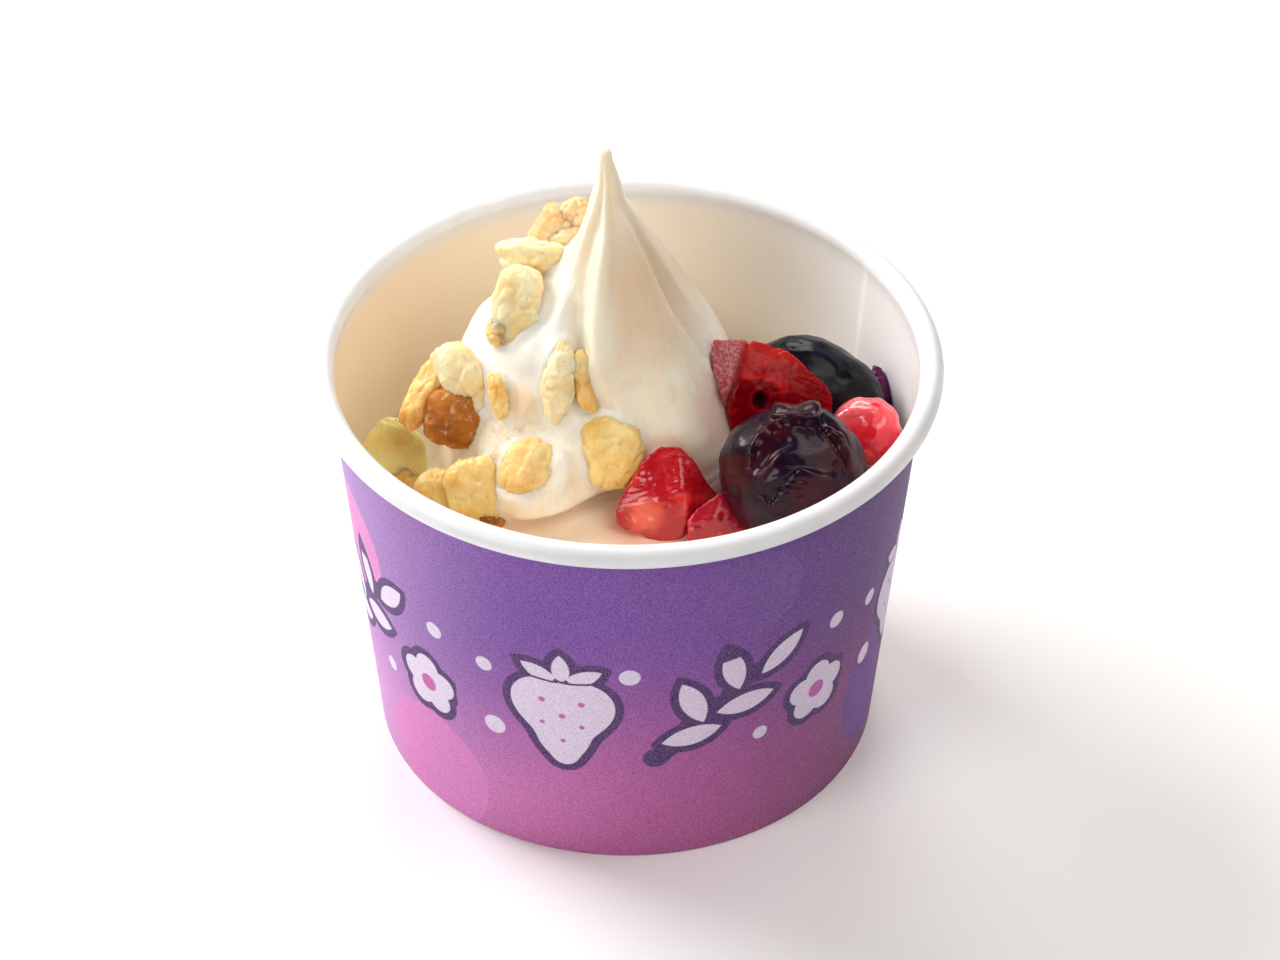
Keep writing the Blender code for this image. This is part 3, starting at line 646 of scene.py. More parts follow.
def yogurt_material():
    """Creamy white, a little translucent, with thin streaks, oat dust and the stains of the fruit, and
    painted shade and highlights on its forms.
    """
    n = Nodes("frozen_yogurt")
    x, y, z = n.split(n.place)
    cloud = n.noise(7, 3, 0.5)
    n.base = n.mix(n.span(cloud, 0.3, 0.7), rgb(254, 247, 232), rgb(251, 240, 218))
    streaks = n.noise(3.4, 4, 0.6, 0.8, n.vector("MULTIPLY", n.place, (1.6, 1.6, 0.7)))
    n.tint(n.span(streaks, 0.5, 0.66, 0.0, 0.3), rgb(240, 216, 180))
    # Oat dust round the granola on the left, which also stands for painted shade between the oats
    crumbs = n.span(n.noise(1.3, 4, 0.7), 0.45, 0.65, 0.1, 0.7)
    oat_dust_and_shade = n.times(n.ramp(n.away((-16.5, -10.5, 55)), 3, 7.5, 1.0, 0.0), crumbs)
    n.tint(oat_dust_and_shade, rgb(226, 190, 136))
    # Painted shade: the peak is tinted darker towards its tip
    n.tint(n.ramp(z, 68, 82, 0.0, 0.6), rgb(232, 221, 199))
    # Painted shade: the peak's right face, turned from the light, is tinted a warm tan
    face = n.times(n.ramp(x, -3, 0), n.ramp(z, 86, 78), n.ramp(x, 12, 4, 0.35, 1.0))
    face = n.times(face, n.ramp(z, 62, 72, 0.0, 0.6))
    n.tint(face, rgb(226, 196, 158))
    # Painted highlight: the left lobe, facing the light, is tinted whiter
    lobe = n.times(n.ramp(x, -6, -11), n.ramp(z, 55, 62), 0.6)
    n.tint(lobe, rgb(255, 251, 246))
    # Painted warm shade tints the low melt in front peach; juice has tinted the cream round each piece of red
    # and blue fruit
    low = n.times(n.ramp(z, 50, 46.5), n.ramp(y, -10, -20), 0.7)
    n.tint(low, rgb(255, 220, 188))
    stains = (
        ((-14.9, -7.8, 60.6), 0.5, 4, rgb(240, 206, 152), 0.8),
        ((14.5, -4.5, 57.5), 4, 8, rgb(232, 170, 172), 0.35),
        ((6, -17, 49), 6, 12, rgb(240, 150, 130), 0.55),
        ((23.2, -15.5, 50), 9.5, 12.5, rgb(216, 186, 220), 0.6),
        ((14, -20, 48), 4, 8.5, rgb(232, 140, 130), 0.5),
        ((28.4, 9.6, 44), 8, 14, rgb(188, 140, 170), 0.5),
        ((22, 0.5, 52), 6, 10, rgb(226, 158, 168), 0.5),
        ((34, -5, 48), 4, 9, rgb(232, 140, 150), 0.5),
    )
    for centre, near, far, colour, most in stains:
        ragged = n.math("ADD", n.away(centre), n.math("MULTIPLY_ADD", cloud, 4 * MM, -2 * MM))
        n.tint(n.ramp(ragged, near, far, most, 0.0), colour)
    ripple = n.noise(2.6, 3, 0.5, 0.4)
    fine = n.noise(0.5, 2, 0.5)
    n.link(n.span(ripple, 0.3, 0.7, 0.3, 0.42), "Roughness")
    n.link(n.bump(fine, 0.02, 0.3, n.bump(ripple, 0.12, 0.5)), "Normal")
    n.set(
        Subsurface_Weight=0.6, Subsurface_Radius=(1.0, 0.75, 0.5), Subsurface_Scale=3.6 * MM,
        Coat_Weight=0.25, Coat_Roughness=0.2, Specular_IOR_Level=0.4,
    )
    return n.finished()


# Swellings and hollows of the left lobe: turn in degrees, then height, half width, half height and rise in mm
SWELLINGS = [
    (217, 65.6, 3.2, 2.2, 0.9), (226, 60.4, 4.2, 3.2, -0.8), (240, 58.8, 3, 3, -0.4), (254, 54, 2.6, 5, 0.7),
    (205, 60.5, 4, 3, 0.5), (224, 54.6, 4, 2.2, 0.6),
]
# How high the cream stands round each topping's foot and how far it reaches from it, in mm
CREAM_REACH = 0.8
CREAM = {
    "oat_flake_front": 1.1, "oat_puff_front": 0.8, "oat_puff_upper": 0.7, "oat_puff_middle": 0.6,
    "granola_crumb": 0.5, "oat_flake_upper": 0.5, "granola_cluster": 0.5, "oat_pair": 0.5,
    "strawberry_side": 0.5, "strawberry_front": 0.5, "blueberry_front": 0.6,
}


def cream_rise(places):
    """How far the cream rises, in mm, where it wets the foot of each topping."""
    rise = np.zeros(len(places))
    lumps_of = dict(GRANOLA)
    lumps_of["blueberry_front"] = [BERRIES["blueberry_front"]]
    for name, (centre, _) in CUT_FRUIT.items():
        lumps_of[name] = [(centre, (6.5, 4.5, 6.0), -VIEW_TILT, 0, 2, 0)]
    for name, height in CREAM.items():
        for centre, half, tilt, roll, _, _ in lumps_of[name]:
            local = (places - np.array(centre)) @ np.array(lump_turn(tilt, roll))
            share = np.linalg.norm(local / np.array(half), axis=1)
            away = np.maximum(0, (share - 1) * np.linalg.norm(local, axis=1) / np.maximum(share, 0.01))
            rise = np.maximum(rise, height * np.exp(-((away / CREAM_REACH) ** 2)))
    return rise


def soft_relief(mm, height):
    """How far the swirl's surface rises, in mm, at a place in mm."""
    across, deep = mm.x - AXIS_X / MM, mm.y - AXIS_Y / MM
    turn = atan2(deep, across)
    lobe = smoothstep(radians(75), radians(35), abs(turn_between(turn, radians(205))))
    soft = 0.22 * noise(mm * 0.16) + 0.1 * noise(mm * 0.45) + 0.03 * noise(mm * 1.5)
    soft += 0.6 * lobe * noise(mm * 0.2 + Vector((5, 1, 2))) * band(50, 72, height)
    streak = noise(Vector((turn * 9, mm.z * 0.07, 2))) + 0.5 * noise(Vector((turn * 22, mm.z * 0.1, 4)))
    soft += 0.05 * streak * band(54, 86, height)
    for at_turn, at_height, wide, tall, rise in SWELLINGS:
        along_it = turn_between(turn, radians(at_turn)) * hypot(across, deep) / wide
        soft += rise * exp(-along_it * along_it - ((mm.z - at_height) / tall) ** 2)
    crumpled = band(51, 58, height, 3) * smoothstep(0.62, 0.3, abs(turn_between(turn, radians(232))))
    soft += 0.3 * crumpled * noise(Vector((mm.x * 0.5 + mm.z * 0.3, mm.y * 0.5, mm.z * 1.1)))
    return soft + 0.1 * crumpled * noise(mm * 1.6)


def make_yogurt():
    angles = [TAU * k / YOGURT_SIDES for k in range(YOGURT_SIDES)]
    profiles = [yogurt_profile(angle) for angle in angles]
    rings = []
    for row in reversed(range(len(profiles[0]))):
        ring = []
        for angle, profile in zip(angles, profiles):
            r, z = profile[row]
            ring.append(AXIS + Vector((r * cos(angle), r * sin(angle), z)))
        rings.append(ring)
    points, faces = bridge(rings)
    faces.append(tuple(reversed(range(YOGURT_SIDES))))
    points.append(AXIS + Vector((0, 0, TIP_HEIGHT)))
    top = len(points) - 1 - YOGURT_SIDES
    for k in range(YOGURT_SIDES):
        faces.append((top + k, top + (k + 1) % YOGURT_SIDES, len(points) - 1))
    obj = add_mesh("frozen_yogurt", points, faces, [yogurt_material()])
    mesh = obj.data
    normals = normals_of(mesh)
    rise = cream_rise(np.array(points) / MM)
    for n, at in enumerate(points):
        if LOW_RELIEF < at.z < HIGH_RELIEF and hypot(at.x, at.y) < RELIEF_RADIUS * MM:
            mm = at / MM
            fade = smoothstep(92, 84, mm.z) * smoothstep(RELIEF_RADIUS, 37.5, hypot(mm.x, mm.y))
            points[n] = at + Vector(normals[n]) * (soft_relief(mm, at.z) + rise[n]) * MM * fade
    mesh.vertices.foreach_set("co", [v for p in points for v in p])
    mesh.update()
    return obj


# Toppings


def lump_mesh(name, lump, sides, rings, finish, relief, calm=1.0):
    """The model's uneven rounded body drawn finely, with the rise in mm that relief gives at each place."""
    centre, half, tilt, roll, power, rough = lump
    turn = lump_turn(tilt, roll)
    middle = Vector(centre) * MM
    seed = Vector((centre[0], centre[2], centre[1])) * 0.37

    def place(direction):
        reach = sum(abs(v) ** power for v in direction) ** (-1 / power)
        uneven = noise(direction * 1.7 + seed) + 0.5 * calm * noise(direction * 3.9 + seed)
        size = reach * (1 + rough * calm * 2.2 * uneven)
        local = Vector([v * h * size for v, h in zip(direction, half)])
        local += local.normalized() * relief(local, direction, seed)
        return middle + turn @ local * MM

    rows = []
    for i in range(1, rings):
        up = pi * i / rings
        ring = []
        for k in range(sides):
            a = TAU * k / sides
            ring.append(place(Vector((sin(up) * cos(a), sin(up) * sin(a), -cos(up)))))
        rows.append(ring)
    points, faces = bridge(rows)
    points += [place(Vector((0, 0, -1))), place(Vector((0, 0, 1)))]
    last = (len(rows) - 1) * sides
    for k in range(sides):
        m = (k + 1) % sides
        faces.append((len(points) - 2, m, k))
        faces.append((last + k, last + m, len(points) - 1))
    return add_mesh(name, points, faces, [finish])


def line_away(u, v, line):
    """Distance from a point to a bent line, and how far along the line it lies, from 0 to 1."""
    best, place = 1e9, 0.0
    for n in range(len(line) - 1):
        (au, av), (bu, bv) = line[n], line[n + 1]
        du, dv = bu - au, bv - av
        t = max(0.0, min(1.0, ((u - au) * du + (v - av) * dv) / (du * du + dv * dv)))
        away = hypot(u - au - t * du, v - av - t * dv)
        if away < best:
            best, place = away, (n + t) / (len(line) - 1)
    return best, place


def fold(value, width):
    """1 where the value crosses 0, down to 0 this far from it."""
    return max(0.0, 1 - abs(value) / width) ** 2


def oat_grain(at):
    return noise(at * 3.4) + 0.6 * noise(at * 6.5)


def oat_relief(at, direction, seed):
    """Puffed oat: uneven soft swellings with folds between them."""
    at = at + seed * 9
    folds = fold(noise(at * 0.42 + Vector((7, 3, 1))), 0.16)
    rise = 0.6 * noise(at * 0.26) + 0.3 * noise(at * 0.62 + Vector((3, 8, 1))) - 0.35 * folds
    return rise + 0.12 * noise(at * 1.7) + 0.04 * oat_grain(at)


def flake_relief(at, direction, seed):
    """A rolled oat: thin edge, ribs along it and an uneven face."""
    at = at + seed * 9
    ribs = noise(Vector((at.x * 1.5, at.y * 0.6, at.z * 0.35)))
    folds = fold(noise(at * 0.4 + Vector((2, 5, 1))), 0.14)
    rise = 0.2 * ribs + 0.5 * noise(at * 0.34) - 0.3 * folds
    return rise + 0.1 * noise(at * 1.6) + 0.04 * oat_grain(at)


def crumb_relief(at, direction, seed):
    """Broken baked crumb: knobbly, with pits."""
    at = at + seed * 9
    knob = noise(at * 0.55)
    pit = max(0.0, noise(at * 1.3 + Vector((2, 9, 4))) - 0.1)
    flaky = abs(noise(Vector((at.x * 0.9, at.y * 0.9, at.z * 2.2)) + Vector((1, 7, 2))))
    return 0.3 + 0.3 * knob - 0.5 * pit + 0.3 * flaky + 0.14 * noise(at * 2.8) + 0.1 * noise(at * 6)


def front_blueberry_relief(at, direction, seed):
    """A thawed blueberry seen on its crown end: torn skin round a sunken face with folds in it."""
    u, v = direction.x, direction.z
    rise = 0.1 * noise(at * 0.3 + seed) + 0.03 * noise(at * 1.2)
    if direction.y > 0.25:
        return rise
    shown = smoothstep(0.25, 0.0, direction.y)
    shake = 0.03 * noise(Vector((u * 9, v * 9, 1))) + 0.015 * noise(Vector((u * 25, v * 25, 4)))
    away = hypot(u - 0.06, v - 0.1) - 0.66 + shake
    turn = atan2(v - 0.1, u - 0.06)
    torn = smoothstep(-2.6, -2.2, turn) if turn < 0 else 1.0
    if -2.2 < turn < 0:
        torn = smoothstep(-0.5, -0.1, turn)
    face = smoothstep(0.03, -0.05, away)
    rise += shown * (0.42 * bell(away, 0.028) * torn - 0.5 * face * torn)
    ridge, part = line_away(u, v, [(-0.6, -0.18), (-0.44, 0.0), (-0.32, 0.14), (-0.2, 0.28), (0.0, 0.36)])
    rise += shown * (0.42 * bell(ridge, 0.05) * sin(pi * min(1, part + 0.1)))
    for height, width, line in (
        (-0.5, 0.09, [(-0.5, 0.1), (-0.34, 0.3), (-0.12, 0.46)]),
        (-0.55, 0.035, [(0.33, 0.8), (0.44, 0.58), (0.6, 0.36), (0.7, 0.14), (0.74, -0.1)]),
        (0.3, 0.03, [(0.28, 0.78), (0.38, 0.56), (0.54, 0.34), (0.64, 0.12)]),
    ):
        rise += shown * height * bell(line_away(u, v, line)[0], width)
    flap = line_away(u, v, [(-0.26, 0.78), (-0.1, 0.72), (0.08, 0.68), (0.3, 0.82)])[0]
    above = smoothstep(-0.02, 0.02, v - (0.7 + 0.5 * (u - 0.05) ** 2) + shake)
    inside = smoothstep(-0.34, -0.24, u) * smoothstep(0.38, 0.3, u)
    rise += shown * 0.75 * above * inside * smoothstep(0.35, 0.1, flap)
    crinkle = smoothstep(0.42, 0.25, hypot(u + 0.12, (v + 0.2) * 1.3))
    rough = noise(Vector((u * 11 + v * 5, v * 15, 3)))
    rise -= shown * crinkle * 0.3 * max(0.0, rough - 0.08) * 2
    rise += shown * 0.03 * noise(Vector((u * 30, v * 30, 8))) * (0.4 + face)
    return rise


def back_blueberry_relief(at, direction, seed):
    """Plump and smooth, with a slack patch on its upper left."""
    u, v = direction.x, direction.z
    slack = smoothstep(0.5, 0.15, hypot(u + 0.5, v - 0.45))
    dent, _ = line_away(u, v, [(0.22, 0.7), (0.16, 0.4), (0.24, 0.1), (0.14, -0.2)])
    rise = 0.1 * noise(at * 0.3 + seed) + 0.09 * slack * noise(at * 1.6)
    return rise - 0.3 * bell(dent, 0.09) * (0.6 + noise(at * 0.5))


def small_berry_relief(at, direction, seed):
    """A small taut berry with a fold over its upper left."""
    u, v = direction.x, direction.z
    ridge, _ = line_away(u, v, [(-0.95, 0.1), (-0.6, 0.5), (-0.1, 0.62), (0.2, 0.55)])
    hollow = smoothstep(0.45, 0.1, hypot(u + 0.3, v - 0.25))
    return 0.3 * bell(ridge, 0.12) - 0.3 * hollow + 0.08 * noise(at * 0.8)


def chunk(name, centre, tips, finish, relief, rounds=8):
    """A piece cut from a fruit: the hull of its corners, smoothed this many rounds, then given relief.

    Corners are in mm from the centre, as right, up and towards the viewer in the photograph.
    """
    mesh = bmesh.new()
    for right, up, near in tips:
        mesh.verts.new((Vector(centre) + FACING @ Vector((right, -near, up))) * MM)
    made = bmesh.ops.convex_hull(mesh, input=mesh.verts)
    spare = {v for v in made["geom_interior"] + made["geom_unused"] if isinstance(v, bmesh.types.BMVert)}
    bmesh.ops.delete(mesh, geom=list(spare), context="VERTS")
    bmesh.ops.recalc_face_normals(mesh, faces=mesh.faces)
    data = bpy.data.meshes.new(name)
    mesh.to_mesh(data)
    mesh.free()
    obj = add_object(name, data)
    remesh = obj.modifiers.new("Remesh", "REMESH")
    remesh.mode = "VOXEL"
    remesh.voxel_size = CHUNK_VOXEL
    smooth = obj.modifiers.new("Smooth", "SMOOTH")
    smooth.factor = 0.5
    smooth.iterations = rounds
    graph = bpy.context.evaluated_depsgraph_get()
    data = bpy.data.meshes.new_from_object(obj.evaluated_get(graph))
    obj.modifiers.clear()
    obj.data = data
    normals = normals_of(data)
    back = FACING.transposed()
    moved = []
    for n, vertex in enumerate(data.vertices):
        at = vertex.co / MM
        local = back @ (at - Vector(centre))
        moved.extend(vertex.co + Vector(normals[n]) * relief(at, local.x, local.z) * MM)
    data.vertices.foreach_set("co", moved)
    data.update()
    data.materials.append(finish)
    data.shade_smooth()
    return obj


def flesh_relief(at, u, v):
    """Thawed strawberry flesh: soft dents and fibres. All in mm, with u to the right and v up."""
    dent = max(0.0, noise(at * 0.55 + Vector((4, 4, 8))) - 0.2)
    fibre = noise(Vector((u * 0.5 + v * 0.3, v * 2.2 - u * 0.6, at.y)))
    return 0.35 * noise(at * 0.28) - 0.35 * dent + 0.08 * fibre + 0.02 * noise(at * 2.2)


def side_relief(at, u, v):
    """The large piece: a seed pit, fibres towards its torn right edge and beads of juice on top."""
    rise = flesh_relief(at, u, v)
    pit = hypot((u + 2.6) / 1.15, (v + 1.2) / 1.4)
    rise -= 1.3 * smoothstep(1.0, 0.5, pit)
    rise += 0.3 * bell(pit - 1.15, 0.25)
    torn = smoothstep(2.0, 5.0, u)
    rise += torn * 0.4 * noise(Vector((u * 0.5 + v * 0.7, v * 2.4 + u * 0.9, 6)))
    bead = max(0.0, noise(at * 1.5 + Vector((1, 2, 3))) - 0.22)
    rise -= 0.6 * bell(u + 6.0 - 0.33 * (v - 2), 0.35)
    return rise + 0.3 * bead * smoothstep(0.0, 3.0, v) * smoothstep(-6.0, -4.5, u)


def oat_material(name, light, deep, speck, wet=0.25):
    """Toasted grain, damp from the cream: pale, golden where it is thick, with brown specks, painted shade in
    its folds and painted highlights on its swellings.
    """
    n = Nodes(name)
    cloud = n.noise(4.5, 2, 0.5)
    crease = n.noise(1.4, 4, 0.65, 0.6)
    grain = n.noise(0.5, 4, 0.7)
    n.base = n.mix(n.span(cloud, 0.34, 0.72, 0.0, 0.9), light, deep)
    # Painted shade: the deep colour fills the folds
    n.tint(n.span(crease, 0.46, 0.3, 0.0, 0.4), deep)
    n.tint(n.span(grain, 0.48, 0.34, 0.0, 0.35), n.mix(1.0, n.base, rgb(244, 222, 176), "MULTIPLY"))
    # Painted highlight on the swellings
    n.tint(n.span(crease, 0.54, 0.7, 0.0, 0.35), rgb(255, 248, 226))
    fleck = n.span(n.cells(1.2), 0.12, 0.06)
    keep = n.span(n.noise(2.0, 1), 0.56, 0.64)
    n.tint(n.times(fleck, keep, speck), rgb(120, 74, 34))
    n.link(n.span(crease, 0.3, 0.7, 0.55, 0.38), "Roughness")
    n.link(n.bump(grain, 0.08, 0.6, n.bump(crease, 0.12, 0.6)), "Normal")
    n.set(
        Subsurface_Weight=0.6, Subsurface_Radius=(1.0, 0.85, 0.5), Subsurface_Scale=1.3 * MM,
        Coat_Weight=wet, Coat_Roughness=0.3, Specular_IOR_Level=0.2 + wet,
    )
    return n.finished()


def blueberry_material(name, dark, warm, bloom, amount, wet=0.24, dull=0.06):
    """Dark wet skin, warm in places, with this amount of pale bloom."""
    n = Nodes(name)
    cloud = n.noise(4.5, 4, 0.55)
    fine = n.noise(0.6, 3, 0.6)
    n.base = n.mix(n.span(n.noise(6, 2), 0.42, 0.62), dark, warm)
    n.tint(n.span(cloud, 0.5, 0.72, 0.0, amount), bloom)
    n.tint(n.span(fine, 0.6, 0.75, 0.0, amount * 0.5), bloom)
    n.link(n.span(cloud, 0.3, 0.7, 0.22, 0.42), "Roughness")
    ripple = n.noise(1.6, 3, 0.5, 1.0)
    n.link(n.bump(fine, 0.02, 0.3, n.bump(ripple, 0.05, 0.4)), "Normal")
    n.set(Coat_Weight=wet, Coat_Roughness=dull, Specular_IOR_Level=0.5 * wet)
    return n.finished()


def flesh_material(name, dark, bright, share, wet=0.6):
    """Wet red flesh with this share of it bright. Gives its nodes, for marks to be added."""
    n = Nodes(name)
    cloud = n.noise(4.5, 3, 0.55, 0.5)
    vein = n.noise(1.3, 3, 0.6, 1.0)
    n.base = n.mix(n.span(cloud, 0.62 - share * 0.35, 0.78 - share * 0.3), dark, bright)
    n.tint(n.span(vein, 0.55, 0.78, 0.0, 0.3), bright)
    n.link(n.span(vein, 0.3, 0.7, 0.16, 0.34), "Roughness")
    n.link(n.bump(vein, 0.05, 0.4, n.bump(cloud, 0.2, 0.3)), "Normal")
    n.set(
        Subsurface_Weight=0.55, Subsurface_Radius=(1.0, 0.14, 0.09), Subsurface_Scale=3 * MM,
        Coat_Weight=wet, Coat_Roughness=0.1, Specular_IOR_Level=0.5 * wet,
    )
    return n


def facing_place(n, centre):
    """How far right and up of this centre, as in the photograph's view, for placing marks on a piece."""
    x, y, z = n.split(n.vector("SUBTRACT", n.place, tuple(c * MM for c in centre)))
    tilt = radians(VIEW_TILT)
    return x, n.math("MULTIPLY_ADD", y, sin(tilt), n.times(z, cos(tilt)))


# Each lump has a centre and half sizes in mm, a tilt back and a roll in degrees, a power that squares it off
# (2 is round) and its unevenness. They are the model's, with small shifts to match the photograph.
GRANOLA = {
    "granola_crumb": [
        ((-9.6, 15.8, 72.6), (3.8, 3.2, 3.9), -30, 20, 2.6, 0.1),
        ((-7.3, 16.4, 74.2), (3.2, 2.8, 3.4), -30, 0, 2.2, 0.1),
        ((-7.9, 14, 72), (3.4, 2.9, 3.6), -30, 0, 2.4, 0.08),
    ],
    "oat_flake_upper": [((-12.6, 10.4, 72.5), (6, 2.6, 2.7), -30, 10, 2.3, 0.1)],
    "oat_puff_upper": [
        ((-15.6, 3.1, 69.3), (3.7, 2.8, 6), -36, 8, 2.6, 0.07),
        ((-18, 1, 66.8), (2, 1.8, 2.3), -36, 0, 2.2, 0.1),
    ],
    "granola_cluster": [
        ((-23, -2.7, 60.6), (3.4, 2.6, 6), -36, -32, 2.4, 0.08),
        ((-28.6, -2, 57.9), (2.5, 2.5, 6), -36, 30, 2.3, 0.1),
        ((-24.5, -4.5, 55.6), (3.8, 3.7, 4), -28, 12, 3.2, 0.1),
        ((-18.2, -6.7, 61), (1.3, 1.3, 3.6), -36, -12, 2.2, 0.08),
    ],
    "oat_flake_wall": [
        ((-33.2, -3.6, 47.6), (4.3, 1.7, 5.4), -36, -14, 2.3, 0.1),
        ((-32.2, -6.4, 44.8), (2.4, 1.6, 2.2), -36, 20, 2.2, 0.16),
    ],
    "oat_pair": [
        ((-26.4, -14.2, 48.3), (3.6, 2.1, 4.2), -36, -18, 2.4, 0.08),
        ((-20.9, -14.9, 50.1), (4.4, 2.4, 5.2), -36, -20, 2.5, 0.08),
        ((-19.3, -17.9, 47.2), (1.8, 1, 1.1), -36, 10, 2.2, 0.1),
    ],
    "oat_flake_front": [((-13.5, -14.8, 53), (4.4, 2.5, 5), -38, 24, 2.3, 0.1)],
    "oat_puff_middle": [
        ((-9.4, -6.4, 63.3), (2.5, 2.2, 5.8), -34, 6, 2.2, 0.1),
        ((-6.2, -6.2, 63.2), (1.7, 1.3, 4.4), -34, -12, 2.2, 0.1),
    ],
    "oat_puff_front": [((-2.4, -11.4, 54.8), (4.6, 2.8, 5.2), -38, -10, 2.5, 0.08)],
}
BERRIES = {
    "blueberry_front": ((23.4, -15.9, 54.5), (10.4, 9.9, 9.7), -38, 0, 2.1, 0.02),
    "blueberry_back": ((27.4, 9.8, 49), (10.4, 8.4, 7.6), -36, 28, 2.1, 0.02),
    "berry_small": ((34, -4.8, 53), (5.1, 4.8, 5.1), -38, 0, 2.1, 0.03),
}
CHUNK_VOXEL = 0.24 * MM
# Cut strawberry pieces: the centre, then each corner from it as right, up and towards the viewer in the
# photograph, all in mm
CUT_FRUIT = {
    "strawberry_side": ((21.6, 0, 56.4), [
        (-9.4, 7.6, 4.4), (-10, 5.2, 5.6), (-9, 2.4, 6.4), (-8.2, 0.2, 5.6), (-5.2, 7.2, 1.8),
        (-1.6, 7.3, 1.2), (0.6, 6.3, 0.9), (2.6, 4.8, 0.9), (5.2, 2.8, 0.7), (7.5, 0.6, 0.3),
        (7.9, -1.6, 0.2), (7.5, -4.4, 0), (2.4, -6.4, 1), (-3.2, -6.8, 1.2), (-6.9, -5, 2.2),
        (-2.6, 0, 4.6), (1.6, 1.2, 3.4), (3.6, -1.6, 2.6), (-3.8, -3.2, 3.8), (-3.2, 4.2, 3.4),
        (-4, 4, -4), (2, 4, -3.5), (6, -1, -3), (4, -5, -3), (-5, -4, -4),
    ]),
    "strawberry_front": ((6, -16.3, 50.8), [
        (-1.4, 6.9, 0), (1.5, 6.8, 0.2), (-4, 4.6, 0.8), (-7.7, -2.3, 0.8), (-7.5, -4.3, 0.6),
        (-3, -6.4, 1.4), (1.4, -7, 1.8), (1.6, 0.8, 3.6), (1.4, 5.2, 1.6), (3.2, 5.2, 0.6), (5, 2.6, 0.4),
        (7.2, -0.4, -0.4), (-1.8, -0.8, 3.2), (2.8, -3.4, 2.8), (0, 5.6, -3.2), (-6.2, -2.8, -3),
        (-1, -6.2, -2.8), (5.6, -1.6, -3.2), (3, 3, -3.4),
    ]),
    "strawberry_corner": ((14, -20.4, 50), [
        (-5.6, -3.4, 1.2), (-5.6, -0.6, 1.4), (-4.2, 1.5, 0.6), (-0.8, 3.6, 0), (1.2, 2, 0.4),
        (3.6, -1.3, 0), (3, -3.6, 0.2), (-1.6, -3.8, 1.2), (-2, 0, 2), (-4, -2, -2.4), (0, 2, -2.4),
        (2.6, -2, -2.4), (-1, -3.5, -2),
    ]),
}


def make_granola():
    pale = oat_material("oat_pale", rgb(255, 241, 203), rgb(255, 218, 148), 0.5)
    golden = oat_material("oat_golden", rgb(250, 220, 154), rgb(240, 190, 98), 0.6)
    green = oat_material("oat_greenish", rgb(246, 222, 150), rgb(234, 192, 94), 0.6)
    # Painted light: the oat by the wall sits in shade and is given a lighter colour to make up for it
    oat_painted_lighter = oat_material("oat_lightened_for_shade", rgb(255, 246, 176), rgb(255, 222, 130), 0.6)
    amber = oat_material("oat_amber", rgb(252, 208, 128), rgb(230, 168, 78), 0.6)
    tan = oat_material("crumb_tan", rgb(255, 216, 164), rgb(244, 180, 112), 0.9, 0.1)
    brown = oat_material("crumb_brown", rgb(200, 128, 50), rgb(148, 82, 22), 0.9, 0.0)
    looks = {
        "granola_crumb": (tan, tan, tan), "oat_flake_upper": (pale,), "oat_puff_upper": (pale, golden),
        "granola_cluster": (pale, amber, brown, golden), "oat_flake_wall": (oat_painted_lighter, amber),
        "oat_pair": (green, green, brown),
        "oat_flake_front": (golden,), "oat_puff_middle": (pale, golden), "oat_puff_front": (green,),
    }
    flakes = ("oat_flake_wall", "oat_pair", "oat_flake_front")
    for name, lumps in GRANOLA.items():
        made = []
        for lump, look in zip(lumps, looks[name]):
            relief = flake_relief if name in flakes else oat_relief
            if look in (brown, tan):
                relief = crumb_relief
            made.append(lump_mesh(name + "_oat", lump, 84, 56, look, relief, 0.5))
        obj = join(name + "_pieces", made) if len(made) > 1 else made[0]
        ride(obj, name)


